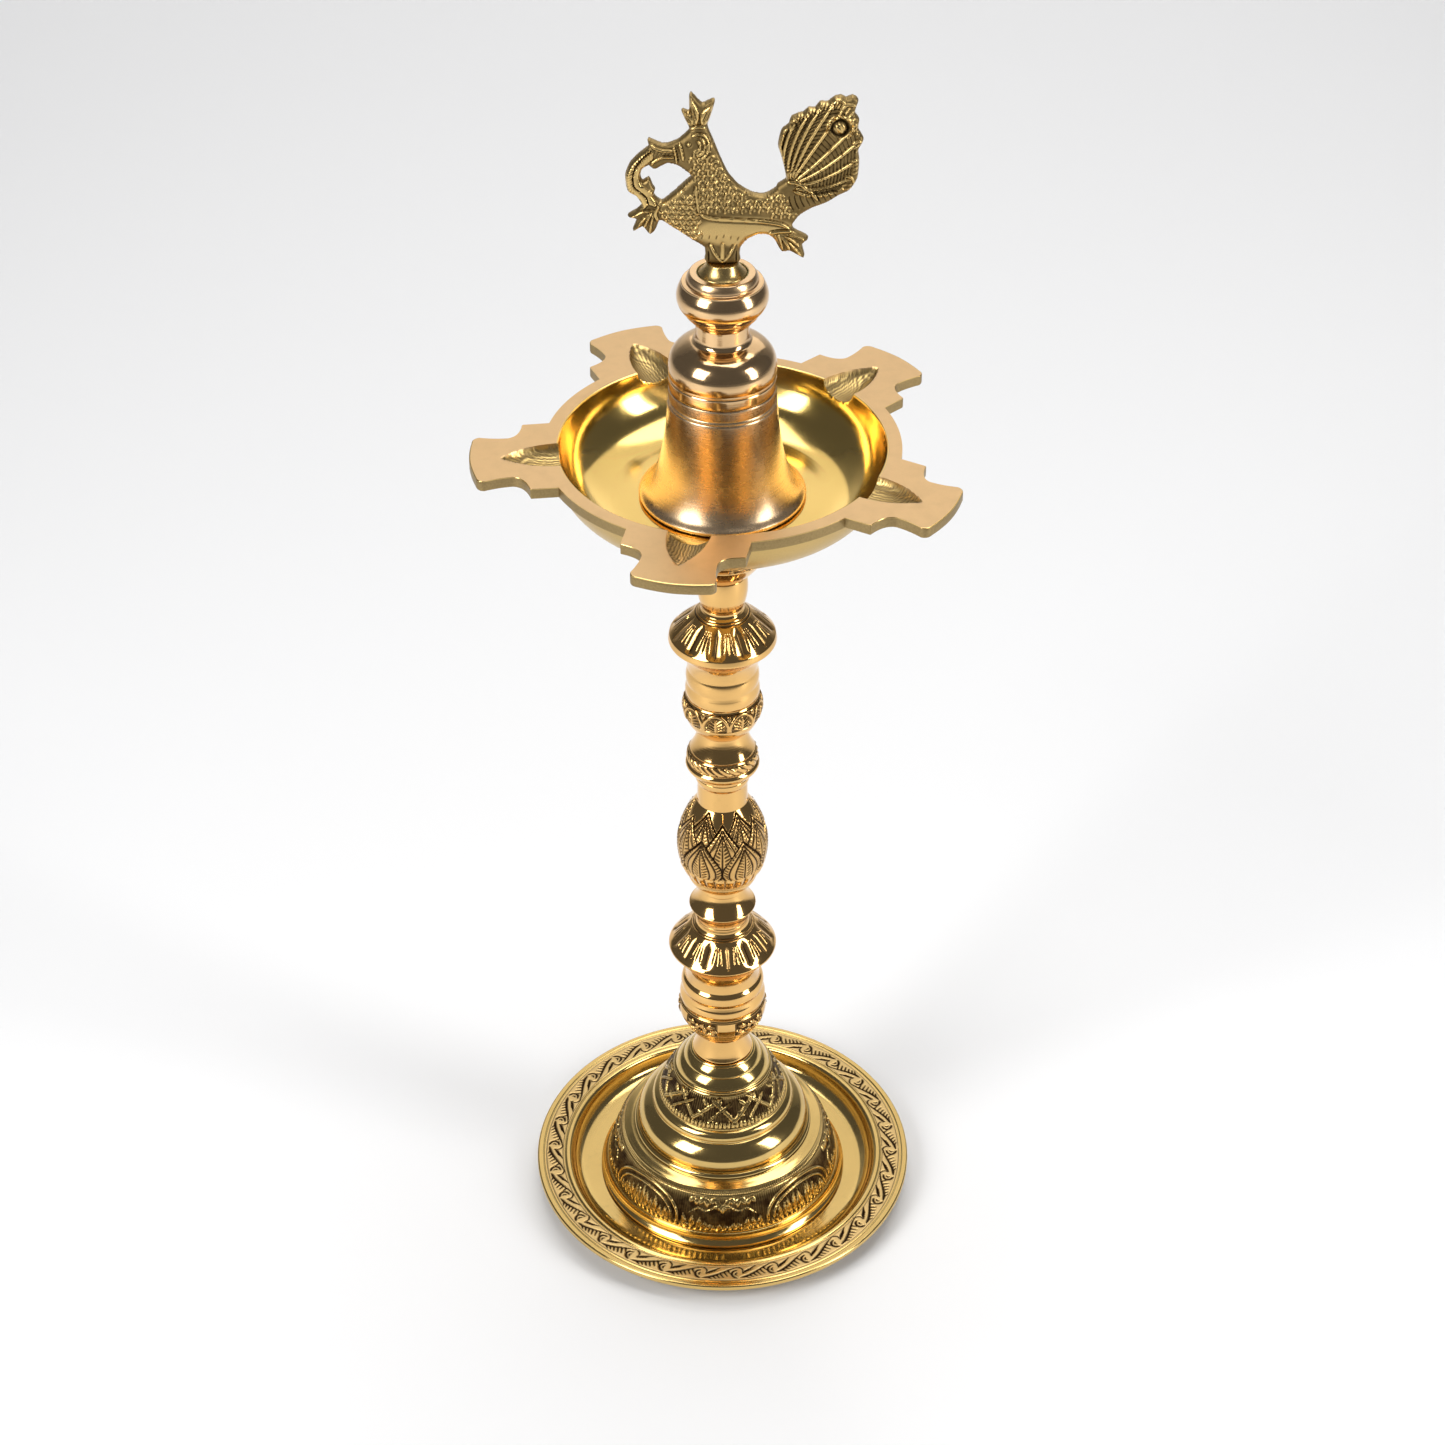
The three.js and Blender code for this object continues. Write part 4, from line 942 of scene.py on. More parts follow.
def arm_half():
    """Half of one arm's outline from its tip to midway between two arms, with the angle on
    the bowl's edge that each point is joined to. The joined places crowd towards the arm's
    middle, so that no joining line leaves the arm."""
    neck, root = (71.9, 12.4), (ARM_ROOT, ARM_SHOULDER)
    spans = [
        (quadratic((TIP_RADIUS, 0), (85.4, 5.5), (84.1, 11), 11), 0, 2.6),
        (quadratic((84.1, 11), (83.9, 13.8), (81.5, 14), 6), 2.6, 3.8),
        (quadratic((81.5, 14), (76.5, 12.4), neck, 9), 3.8, 7.6),
        (quadratic(neck, (ARM_ROOT + 10.8, 13.0), (ARM_ROOT + 9.4, ARM_SHOULDER - 0.5), 12), 7.6, 14.2),
        (quadratic((ARM_ROOT + 9.4, ARM_SHOULDER - 0.5), (ARM_ROOT + 9.4, ARM_SHOULDER),
                   (ARM_ROOT + 8.9, ARM_SHOULDER), 3), 14.2, 14.7),
        (quadratic((ARM_ROOT + 8.9, ARM_SHOULDER), (ARM_ROOT + 4, ARM_SHOULDER), root, 8), 14.7,
         BOWL_RADIUS * ARM_SHOULDER / RING_RADIUS),
    ]
    points = np.vstack([span[0] for span in spans])
    across = np.concatenate([a + (b - a) * np.arange(len(p)) / len(p) for p, a, b in spans])
    angles = np.arcsin(across / BOWL_RADIUS)
    arc = np.linspace(np.arcsin(ARM_SHOULDER / RING_RADIUS), np.pi / ARM_COUNT, 13)
    points = np.vstack([points, RING_RADIUS * np.stack([np.cos(arc), np.sin(arc)], 1)])
    return points, np.concatenate([angles, arc])


def boat_depth(x, y, length, half, depth, straight):
    """How deep a boat-shaped cut reaches at a place in the arm's own frame: across it a half
    round, and its half width one less a power of the share of its length gone."""
    share = np.clip((x - BOWL_RADIUS) / length, 0, 1)
    width = half * (1 - share ** 2.2)
    inside = (np.abs(y) < width) & (x > BOWL_RADIUS - straight) & (x < BOWL_RADIUS + length)
    ratio = np.clip(np.abs(y) / np.maximum(width, 1e-6), 0, 1)
    fall = depth * (1 - share ** 2.2)
    return np.where(inside, fall * np.sqrt(1 - ratio ** 2), 0), inside


def make_pan():
    """The pan on one closed grid. Columns run out from the middle, across the floor, up the
    bowl's wall, over its rim and along straight lines to the plate's outline, then back
    underneath. Heights are the lower of the plain surface and the spout's boat, and places
    close to a spout's edge are moved on to it."""
    outline, angles = arm_half()
    outline = np.vstack([outline, outline[-2:0:-1] * (1, -1)])
    sector = np.concatenate([angles, -angles[-2:0:-1]])
    outline_all, angle_all, turn_all = [], [], []
    for k in range(ARM_COUNT):
        turn = ARM_TURN + TURN * k / ARM_COUNT
        half = len(angles)
        order = np.concatenate([np.arange(half, len(sector)), np.arange(half)])
        outline_all.append(outline[order])
        angle_all.append(sector[order])
        turn_all.append(np.full(len(sector), turn))
    outline, angle, turn = np.vstack(outline_all), np.concatenate(angle_all), np.concatenate(turn_all)
    count = len(angle)
    edge = np.stack([np.cos(angle), np.sin(angle)], 1)      # unit way out, in the arm's own frame
    rows = []                                               # (local x, local y, height, marks)

    def ring(radius, height, satin=0.0, raw=0.0):
        """A round row."""
        rows.append((edge * radius, np.full(count, height), satin, raw))

    def between(share, height, satin, raw, inner):
        """A row part of the way from a circle to the plate's outline."""
        rows.append((edge * inner * (1 - share) + outline * share, np.full(count, height), satin, raw))

    ring(STUD_HOLE, -BOWL_DEPTH - PAN_WALL, 0, 0.5)
    for radius in np.linspace(STUD_HOLE, FLOOR_RADIUS, 11):
        ring(radius, -BOWL_DEPTH)
    wall = Contour(FLOOR_RADIUS, -BOWL_DEPTH).bow(BOWL_RADIUS, -0.9, 5, 0.85).points[1:]
    for radius, height in wall:
        ring(radius, height)
    inner = 55.95
    for radius, height in ((55.52, -0.5), (55.62, -0.2), (inner, 0.0)):
        ring(radius, height, 0.2)
    for share in np.linspace(0, 1, 51)[1:-1]:
        between(share, 0, 1, 0, inner)
    for share, height in ((0.988, 0), (0.996, -0.12), (1, -0.4), (1, -1.4), (1, -2.4), (1, -3.4),
                          (0.992, -3.8)):
        between(share, height, 0.5 if height > -0.3 else 0, 0 if height > -0.3 else 1, inner)
    for share in np.linspace(1, 0, 26)[1:]:
        between(0.985 * share, -PLATE, 0, 0.8, SHELL_RADIUS)
    shell = Contour(FLOOR_RADIUS, -BOWL_DEPTH - PAN_WALL).bow(SHELL_RADIUS, -PLATE, 5, 1.1).points[::-1]
    for radius, height in shell[1:]:
        ring(radius, height, 0.2, 0.5)
    for radius in np.linspace(FLOOR_RADIUS, STUD_HOLE, 8)[1:-1]:
        ring(radius, -BOWL_DEPTH - PAN_WALL, 0.2, 0.5)

    plan = np.stack([row[0] for row in rows])
    height = np.stack([row[1] for row in rows])
    satin = np.repeat(np.array([row[2] for row in rows])[:, None], count, 1)
    raw = np.repeat(np.array([row[3] for row in rows])[:, None], count, 1)
    top = 12 + len(wall) + 3
    upper = np.arange(len(rows)) < top + 50

    x, y = plan[..., 0], plan[..., 1]
    share = np.clip((x - BOWL_RADIUS) / SPOUT_LENGTH, 0, 1)
    width = SPOUT_HALF * (1 - share ** 2.2)
    slope = -SPOUT_HALF * 2.2 * share ** 1.2 / SPOUT_LENGTH
    gap = (width - np.abs(y)) / np.hypot(1, slope)
    flat = (np.arange(len(rows)) >= top - 1) & (np.arange(len(rows)) < top + 49)
    near = flat[:, None] & (np.abs(gap) < 0.24) & (share < 0.985)
    move = np.where(near, gap, 0) / np.hypot(1, slope)
    plan = np.stack([x - move * slope * 0.999, y + move * np.sign(y) * 0.999], -1)
    x, y = plan[..., 0], plan[..., 1]

    fall, inside = boat_depth(x, y, SPOUT_LENGTH, SPOUT_HALF, SPOUT_DEPTH, 8)
    streak = (np.sin(y * 6.1 + 0.6 * np.sin(x * 1.7) + turn)
              + 0.8 * np.sin(x * 2.3 + y * 9.7 + 1.9 * np.sin(x * 0.8 - turn)))
    grain = 0.06 * streak
    cut_here = upper[:, None] & inside & (-fall < height)
    height = np.where(cut_here, -fall + grain * (fall > 0.6), height)
    raw = np.where(cut_here & (fall > 0.12), 0.95 - 0.45 * np.clip(streak, 0, 1), raw)
    cut = np.where(cut_here & (fall > 0.4), np.clip(0.12 - 0.35 * streak, 0, 0.6), 0)
    satin = np.where(cut_here & (fall > 0.12), 0, satin)
    keel, under = boat_depth(x, y, SPOUT_LENGTH + SPOUT_SKIN, SPOUT_HALF + SPOUT_SKIN,
                             SPOUT_DEPTH + SPOUT_SKIN, 1.5)
    height = np.where(~upper[:, None] & under & (-keel < height) & (x > BOWL_RADIUS - 1), -keel, height)

    rim = float(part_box("dish_pan")[1].z) / MM
    turned = np.stack([x * np.cos(turn) - y * np.sin(turn), x * np.sin(turn) + y * np.cos(turn),
                       height + rim], -1)
    quads = grid_faces(len(rows), count, True)
    make_piece("spouted_pan", turned.reshape(-1, 3), quads, None,
               {"cut": cut.ravel(), "satin": satin.ravel(), "raw": raw.ravel()},
               DISH_BRASS, "dish", ["dish_pan"])


def make_column():
    """The bell and the column over it, the bushed recess in its top, and the stud below."""
    bell = Turned("dish_bell", (
        Contour(25.6, 0).to(28.2, 0, 0.8).to(28.5, 0.4, 0.2).bow(28.2, 1.6, 0.2, 0.3)
        .along([(28.2, 1.6), (26.2, 3.4), (24.1, 6.6), (22.3, 10.8), (20.9, 16), (19.8, 22), (19.0, 28.5),
                (18.4, 36.5)]).groove(0.8, 0.3)
        .to(18.2, 38.0, 0.4)
        .groove(0.5, 0.14).to(18.1, 41.9, 0.7).to(17.9, 42.3, 0.2).to(15.7, 42.3, 1).to(15.7, 26.2, 3)
        .to(18.8, 19, 3).to(22.2, 9.3, 3)), 300)
    bell.satin[:] = 1
    bell.piece("bell_skirt", "dish", BELL_BRASS, "dish_brass")

    column = Turned("dish_column", (
        Contour(13.4, -4.2).to(15.4, -4.2, 0.8).to(15.4, 0, 1.2).to(17.9, 0, 0.8).to(18.1, 0.2, 0.2)
        .to(18.1, 3.6, 0.8).groove(0.7, 0.3).to(18.05, 4.9, 0.3).bow(9.9, 16.9, 3.3, 0.5).to(9.4, 17.3, 0.3)
        .bow(8.9, 19.3, -0.15, 0.4).to(8.9, 23.6, 0.8).to(9.2, 24.2, 0.3).to(10.4, 24.9, 0.3)
        .to(10.5, 25.4, 0.2).to(10.6, 25.8, 0.2).to(12.2, 27.0, 0.3).to(12.3, 27.5, 0.2).to(12.5, 27.9, 0.2)
        .bow(13.9, 37.9, 2.0, 0.5).to(13.6, 38.2, 0.2).to(13.6, 38.7, 0.2).to(11.9, 38.9, 0.3)
        .bow(11.0, 41.7, 0.3, 0.4).to(10.7, 42, 0.2).to(8.7, 42, 0.5).to(8.5, 41.8, 0.2).to(8.5, 40.8, 0.3)
        .to(7.2, 40.8, 0.4).to(5.3, 35.1, 0.5).to(5.0, 35.0, 0.3).to(5.0, 26.1, 2).to(4.1, 26.1, 0.5)
        .to(4.1, 21, 2).to(13.4, 8.4, 3)), 320)
    inside = (column.rows[:, 0] < 8.6) & (column.rows[:, 1] > column.rows[:, 1].max() - 8)
    column.raw = np.where(inside, 1.0, 0)
    rough = hand.normal(0, 0.09, column.lift.shape) + 0.1
    column.lift += np.where(inside[:, None], rough, 0)
    column.satin = np.where(column.rows[:, 1] > column.rows[:, 1].max() - 3.2, 0.8, 0.1)
    column.piece("turned_column", "dish", COLUMN_BRASS, "column_brass")

    stud = Turned("dish_stud", (
        Contour(0, -23.5).to(4.0, -23.5, 1).to(4.45, -22.8, 0.2).to(4.45, -15.3, 0.15, "stud")
        .to(4.8, -15, 0.2).to(4.8, 2.9, 1.5).to(9, 2.9, 1).to(9, 5.9, 1).to(8, 6.9, 0.5)
        .to(0, 6.9, 2)), 200, ease=0.15)
    cut_thread(stud, "stud", 1.5, 4.45, 5.0)
    stud.raw[:] = 0.4
    stud.piece("headed_stud", "dish_thread", THREAD_BRASS, "thread_brass")


make_pan()
make_column()


# ---------------------------------------------------------------- peacock

BIRD_PITCH = 0.245
BIRD_LEFT, BIRD_FOOT = -32, 4.6         # where the drawing's patch starts
BIRD_SEAT = 4.8                         # the height in the drawing that meets the collar's top
BIRD_OUTLINE = [
    (-5, 5.1), (-5.3, 7.6), (-5.8, 10.6), (-9.4, 13.0), (-13.1, 15.7), (-16.0, 17.6), (-18.9, 19.7),
    (-20.4, 19.7), (-21.5, 16.8), (-23.3, 15.0), (-25.6, 17.7), (-28.6, 16.1), (-27.3, 20.1),
    (-30.2, 21.2), (-27.3, 23.0), (-25.6, 25.2), (-27.5, 28.5), (-29.8, 29.9), (-30.4, 31.7),
    (-30.6, 35.7), (-29.1, 39.5), (-25.8, 43.0), (-23.1, 45.2), (-23.3, 47.7), (-19.6, 46.1),
    (-17.5, 45.9), (-13.8, 47.4), (-10.6, 50.4), (-10.4, 52.1), (-12.7, 57.6), (-10.3, 57.3),
    (-10.0, 63.3), (-6.4, 59.7), (-2.6, 61.2), (-4.0, 55.6), (-4.9, 52.4), (-2.9, 47.0), (-0.7, 41.2),
    (1.8, 35.7), (5.1, 31.7), (9.1, 29.0), (12.0, 28.3), (14.2, 28.6), (17.0, 30.4), (17.6, 31.8),
    (20.2, 33.8), (20.0, 37.0), (18.6, 42.6), (17.7, 45.8), (18.6, 50.6), (20.8, 52.6), (21.6, 55.0),
    (23.8, 56.2), (25.4, 56.6), (27.0, 58.2), (29.0, 58.2), (30.6, 60.2), (33.0, 60.2), (35.0, 61.8),
    (37.0, 62.3), (38.6, 61.6), (40.6, 62.3), (42.2, 61.0), (41.2, 57.0), (42.6, 54.6), (42.4, 51.4),
    (44.2, 47.8), (42.6, 44.2), (43.0, 40.6), (42.6, 34.6), (40.2, 30.6), (36.6, 28.6), (33.0, 26.2),
    (28.6, 24.4), (24.6, 21.8), (22.2, 18.2), (23.0, 16.0), (27.4, 13.4), (25.4, 11.2), (26.2, 6.6),
    (21.8, 9.0), (19.0, 9.0), (16.6, 13.4), (14.6, 15.0), (11.4, 15.2), (8.0, 13.5), (5.8, 10.6),
    (5.3, 7.6), (5, 5.1)]
BIRD_WINDOW = [
    (-23.3, 34.2), (-25.4, 33.2), (-26.2, 35.4), (-25.5, 37.9), (-23.3, 39.2), (-21.5, 37.9),
    (-17.5, 39.9), (-13.8, 39.0), (-9.5, 35.4), (-11.6, 32.8), (-15.3, 29.2), (-19.3, 26.1),
    (-22.0, 28.5), (-21.6, 30.6), (-22.2, 31.5)]


def rounded(points):
    """A closed line with the point between each two moved on to a cubic, so that corners
    round a little while tips keep their place."""
    p = np.asarray(points, float)
    before, after, later = np.roll(p, 1, 0), np.roll(p, -1, 0), np.roll(p, -2, 0)
    made = [p]
    for t in (0.25, 0.5, 0.75):
        tension = 0.35
        a, b = tension * (after - before), tension * (later - p)
        made.append((2 * t ** 3 - 3 * t ** 2 + 1) * p + (t ** 3 - 2 * t ** 2 + t) * a
                    + (3 * t ** 2 - 2 * t ** 3) * after + (t ** 3 - t ** 2) * b)
    return np.stack(made, 1).reshape(-1, 2)


def signed_distance(x, y, loop):
    """Distance from each place to a closed line, less than nothing inside it. A place is
    inside when a ray from it to the right crosses the line an odd number of times."""
    start, end = loop, np.roll(loop, -1, 0)
    way = end - start
    size = (way ** 2).sum(1)
    nearest = np.full(x.shape, 1e9)
    crossings = np.zeros(x.shape, int)
    for (sx, sy), (wx, wy), length in zip(start, way, size):
        t = np.clip(((x - sx) * wx + (y - sy) * wy) / max(length, 1e-9), 0, 1)
        nearest = np.minimum(nearest, np.hypot(x - sx - t * wx, y - sy - t * wy))
        if wy != 0:
            meets = ((sy > y) != (sy + wy > y)) & (x < sx + (y - sy) * wx / wy)
            crossings += meets
    return np.where(crossings % 2 == 1, -nearest, nearest)


def bird_field():
    """The grid over the bird: its places and their distance from the edge."""
    outline, window = rounded(BIRD_OUTLINE), rounded(BIRD_WINDOW)
    x = np.arange(BIRD_LEFT, 46, BIRD_PITCH)
    y = np.arange(BIRD_FOOT, 64.6, BIRD_PITCH)
    gx, gy = np.meshgrid(x, y)
    far = np.maximum(signed_distance(gx, gy, outline), -signed_distance(gx, gy, window))
    return gx, gy, far


def soft_blob(gx, gy, cx, cy, rx, ry, lean=0.0):
    """One in the middle of a leaning oval and nothing outside, by a smooth hump."""
    c, s = np.cos(lean), np.sin(lean)
    dx, dy = gx - cx, gy - cy
    reach = ((dx * c + dy * s) / rx) ** 2 + ((dy * c - dx * s) / ry) ** 2
    return np.clip(1 - reach, 0, 1)


def scales(patch, region, size, height, hook=1.0, lean=0.0):
    """Rows of small raised arcs, each row half a step on from the last, wherever `region`
    says yes. `hook` turns the arcs over and stretches them, `lean` tilts them."""
    for row, y in enumerate(np.arange(6, 62, size * 0.8)):
        for x in np.arange(-31 + (row % 2) * size / 2, 44, size):
            if not region(x, y):
                continue
            a = np.linspace(0.1, np.pi - 0.1, 7) + lean
            wide = size * (0.5 + hand.normal(0, 0.03))
            high = hook * size * (0.62 + hand.normal(0, 0.06))
            u, v = x - BIRD_LEFT, y - BIRD_FOOT
            arc = np.stack([x + wide * np.cos(a) - BIRD_LEFT, y + high * np.sin(a) - BIRD_FOOT], 1)
            patch.stroke(arc, 1.35, 0.3, fade=(0.1, 0.1), dark=0.9)
            patch.stroke(arc, 0.8, -height, fade=(0.1, 0.1), level=0.02)
            patch.stroke([(u, v - 0.05 * size), (u, v + 0.34 * hook * size)], 0.6, -0.6 * height,
                         fade=(0.2, 0.2), level=-0.06)


def in_loop(points):
    """A yes-or-no test of whether a place lies in a closed line."""
    loop = np.asarray(points, float)

    def inside(x, y):
        """A ray to the right crosses the line an odd number of times."""
        start, end = loop, np.roll(loop, -1, 0)
        crosses = (start[:, 1] > y) != (end[:, 1] > y)
        with np.errstate(divide="ignore", invalid="ignore"):
            at = start[:, 0] + (y - start[:, 1]) * (end[:, 0] - start[:, 0]) / (end[:, 1] - start[:, 1])
        return np.count_nonzero(crosses & (x < at)) % 2 == 1
    return inside


def bird_relief(patch):
    """Everything modelled on the bird's sides, as cords raised and grooves cut along lines."""
    corner = np.array((BIRD_LEFT, BIRD_FOOT))

    def line(points, steps=6):
        """A smooth line through points of the drawing."""
        return curve([(x - BIRD_LEFT, y - BIRD_FOOT) for x, y in points], steps)

    def ridge(points, width, height, beside=0.5):
        """A raised cord with a shallow dark groove on both sides."""
        patch.stroke(line(points), width + 2 * beside, 0.3, fade=(0.08, 0.12), dark=0.8)
        patch.stroke(line(points), width, -height, fade=(0.08, 0.12), level=0.0)

    patch.cut += 0.6
    body = in_loop([(-3.5, 46), (-10, 44), (-10.5, 36), (-16, 29.5), (-20, 24), (-18.5, 20.5), (-13, 17),
                    (-9, 15.2), (-8.2, 21), (-5, 23.2), (2, 22.6), (10, 22), (16, 21.2), (21.5, 19.5),
                    (24, 23), (19, 29.5), (12, 27.3), (8, 28.2), (4, 31), (0.8, 35), (-1.8, 41)])
    breast = in_loop([(-19.8, 24.5), (-18.6, 20.6), (-13, 16.6), (-6.5, 12.6), (-7.8, 22), (-6, 24.5),
                      (-8.5, 33), (-13, 29.5)])
    scales(patch, lambda x, y: body(x, y) and not breast(x, y), 2.75, 0.34, hook=1.0, lean=0.5)
    scales(patch, breast, 2.3, 0.32, hook=-1.0)

    # tail: ribs that fan from its root, twisted cords between them, lobes along the rim
    root = np.array((20.0, 31.0))
    tips = [(19.4, 49.4), (22.8, 54.4), (26.6, 56.4), (30.2, 58.2), (34.2, 59.6), (38.2, 59.4), (41.6, 53.0),
            (42.6, 47.4), (42.0, 41.0), (40.6, 35.0), (36.6, 30.4)]
    for n, tip in enumerate(tips):
        tip = np.array(tip)
        way = tip - root
        bend = np.array((-way[1], way[0])) * (0.13 - 0.025 * n)
        rib = [root + 0.14 * way, root + 0.4 * way + 0.8 * bend, root + 0.7 * way + 0.75 * bend, tip]
        ridge(rib, 1.15, 0.55)
        if n + 1 < len(tips):
            nxt = np.array(tips[n + 1])
            for m in range(4, 19):
                t = m / 19
                bow = 4 * t * (1 - t)
                a = root + t * way + bow * bend * 0.8
                b_way = nxt - root
                b_bend = np.array((-b_way[1], b_way[0])) * (0.13 - 0.025 * (n + 1))
                b = root + (t + 0.035) * b_way + bow * b_bend * 0.8
                patch.stroke(line([a * 0.88 + b * 0.12, a * 0.12 + b * 0.88], 2), 0.72, 0.32,
                             fade=(0.1, 0.1), dark=0.85)
            middle = (tip + nxt) / 2
            out = (middle - root) / np.hypot(*(middle - root))
            side = np.array((-out[1], out[0]))
            wide = np.hypot(*(nxt - tip)) / 2
            lobe = [middle + side * wide, middle + side * wide * 0.8 + out * wide * 0.75,
                    middle + out * wide * 1.05, middle - side * wide * 0.8 + out * wide * 0.75,
                    middle - side * wide]
            ridge(lobe, 0.95, 0.5, beside=0.35)
            for s in (-0.45, 0, 0.45):
                ridge([middle + side * wide * s - out * 0.6,
                       middle + side * wide * s * 1.1 + out * wide * 0.75], 0.7, 0.4, beside=0.25)
    eye = np.array((36.8, 52.2))
    around = lambda r, a0, a1: [eye + r * np.array((np.cos(a), np.sin(a))) for a in np.linspace(a0, a1, 12)]
    patch.stroke(line(around(2.6, 0, TURN), 3), 1.3, 0.5, fade=EVEN)
    patch.stroke(line([eye - (0.01, 0), eye + (0.01, 0)], 2), 3.6, -0.85, fade=EVEN)
    patch.stroke(line(around(4.0, -1.0, 3.6), 3), 1.1, -0.6, fade=(0.1, 0.1))
    ridge([(18.6, 42.4), (18.2, 46), (19, 50.4)], 1.0, 0.5)
    ridge([(20.2, 33.8), (24, 33.2), (27.5, 30.6), (30.5, 27.2)], 1.1, 0.5)
    for n in range(9):
        x = 22.8 + 1.7 * n
        patch.stroke(line([(x, 23.6 + 0.55 * n), (x - 1.2, 26.2 + 0.5 * n), (x - 1.8, 29.4 + 0.2 * n)]),
                     0.7, 0.32)

    # wing ridge over a smooth belly
    belly = np.clip(1.4 - ((patch.u[None, :] + BIRD_LEFT - 7) / 15) ** 2
                    - ((patch.v[:, None] + BIRD_FOOT - 16.5) / 5) ** 2, 0, 1)
    patch.cut *= 1 - np.clip(2 * belly, 0, 1)
    ridge([(-7.6, 23.4), (-4.4, 21.5), (3, 20.9), (11, 20.4), (15, 19.8), (19, 18.8), (22.4, 16.8)], 1.3, 0.7)
    ridge([(-8.6, 33.0), (-8.2, 28.6), (-7.6, 23.4)], 0.9, 0.4)
    for n in range(12):
        x = -6.5 + 2.3 * n
        y = 15.4 if n < 3 or n > 8 else 14.6 + 0.4 * abs(n - 6)
        patch.stroke(line([(x - 0.2, y - 1.4 + 0.05 * (x > 8)), (x + 0.2, y)], 2), 0.6, 0.2, dark=0.6)

    # crest, head, beak
    for base, tip, wide in (((-8.4, 53), (-10.2, 62.6), 3.4), ((-6.3, 53), (-3.2, 60.6), 3.6),
                            ((-9.4, 53), (-12.2, 57.4), 2.6)):
        base, tip = np.array(base), np.array(tip)
        patch.leaf(base - corner, tip - corner, wide, 0.7, 0.0, vein=0.6)
        for s in (-0.35, 0.35):
            off = np.array((s * wide * 0.5, 0))
            patch.stroke(line([base * 0.75 + tip * 0.25 + off, base * 0.3 + tip * 0.7 + off * 0.8], 2),
                         0.5, 0.28)
    ridge([(-10.2, 51.9), (-7.6, 52.8), (-5.0, 52.2)], 1.1, 0.6)
    ridge([(-9.7, 49.8), (-7.2, 50.4), (-4.6, 49.2)], 0.9, 0.5)
    for r in (2.2, 3.6, 5.0):
        arc = [(-9.2 + r * np.cos(a), 46.4 + r * np.sin(a)) for a in np.linspace(-1.3, 1.1, 8)]
        ridge(arc, 0.8, 0.45, beside=0.35)
    pupil = line([(-10.6, 46.9), (-10.58, 46.9)], 2)
    patch.stroke(pupil, 2.6, 0.35, fade=EVEN)
    patch.stroke(pupil, 1.3, -0.65, fade=EVEN)
    ridge([(-12.4, 41.4), (-12.9, 44.4), (-13.6, 47.2)], 1.0, 0.55)
    ridge([(-14.4, 40.2), (-14.8, 43.2), (-15.4, 45.8)], 0.8, 0.45)
    for n in range(6):
        y = 41.4 + 0.95 * n
        patch.stroke(line([(-14.2 - 0.12 * n, y), (-13.2 - 0.12 * n, y + 0.1)], 2), 0.5, 0.25, dark=0.7)
    ridge([(-15.4, 44.6), (-18.6, 44.4), (-21.4, 45.4), (-22.8, 47.0)], 1.0, 0.5)
    ridge([(-15.2, 42.2), (-18.8, 42.2), (-21.6, 40.8), (-22.6, 39.4)], 1.0, 0.5)
    for n in range(5):
        x = -16.4 - 1.15 * n
        patch.stroke(line([(x, 43.9 + 0.1 * n), (x - 0.7, 42.8)], 2), 0.55, 0.28, dark=0.8)

    # garland: a middle groove between two rows of slanting strands
    spine = line([(-22.4, 44.4), (-25.2, 41.9), (-27.6, 38.6), (-28.4, 35.2), (-28.0, 32.2), (-26.2, 30.4),
                  (-24.4, 28.6), (-23.6, 26.0)], 8)
    way = np.gradient(spine, axis=0)
    way /= np.hypot(*way.T)[:, None]
    side = np.stack([-way[:, 1], way[:, 0]], 1)
    patch.stroke(spine, 0.6, 0.45, fade=(0.02, 0.02))
    for n in range(1, len(spine) - 1, 2):
        for s in (-1, 1):
            start = spine[n] + s * side[n] * 0.25
            end = start + s * side[n] * 2.0
            patch.stroke([start, end + way[n] * 1.5], 1.25, -0.6, fade=(0.15, 0.2), level=0.0)
            patch.stroke([start + way[n] * 0.75, end + way[n] * 2.25], 0.5, 0.3, fade=(0.1, 0.1))

    # front leaf, rear leaf and the leg's cut petal
    for tip in ((-29.6, 21.2), (-28.2, 16.5), (-25.2, 17.4), (-23.3, 15.6)):
        ridge([(-21.2, 23.6), ((-21.2 + tip[0]) / 2 - 0.3, (23.6 + tip[1]) / 2 + 0.7), tip],
              0.95, 0.6, beside=0.45)
    ridge([(-20.2, 25.6), (-21.4, 22.6), (-20.6, 19.8)], 1.1, 0.6)
    for tip in ((26.6, 13.2), (24.8, 11.0), (25.6, 7.2), (21.8, 9.6), (19.4, 9.8)):
        ridge([(17.6, 15.6), ((17.6 + tip[0]) / 2, (15.6 + tip[1]) / 2 + 0.6), tip], 0.95, 0.6, beside=0.4)
    ridge([(14.8, 15.9), (18.0, 16.4), (22.4, 16.4)], 1.2, 0.6)
    for s in (-1, 1):
        ridge([(0, 5.6), (s * 2.2, 8.4), (s * 4.2, 12.4)], 1.0, 0.6)
        patch.stroke(line([(s * 4.4, 5.4), (s * 4.5, 9.6)], 2), 0.7, 0.3)
    ridge([(0, 6.8), (0, 12.8)], 1.3, 0.7, beside=0.3)


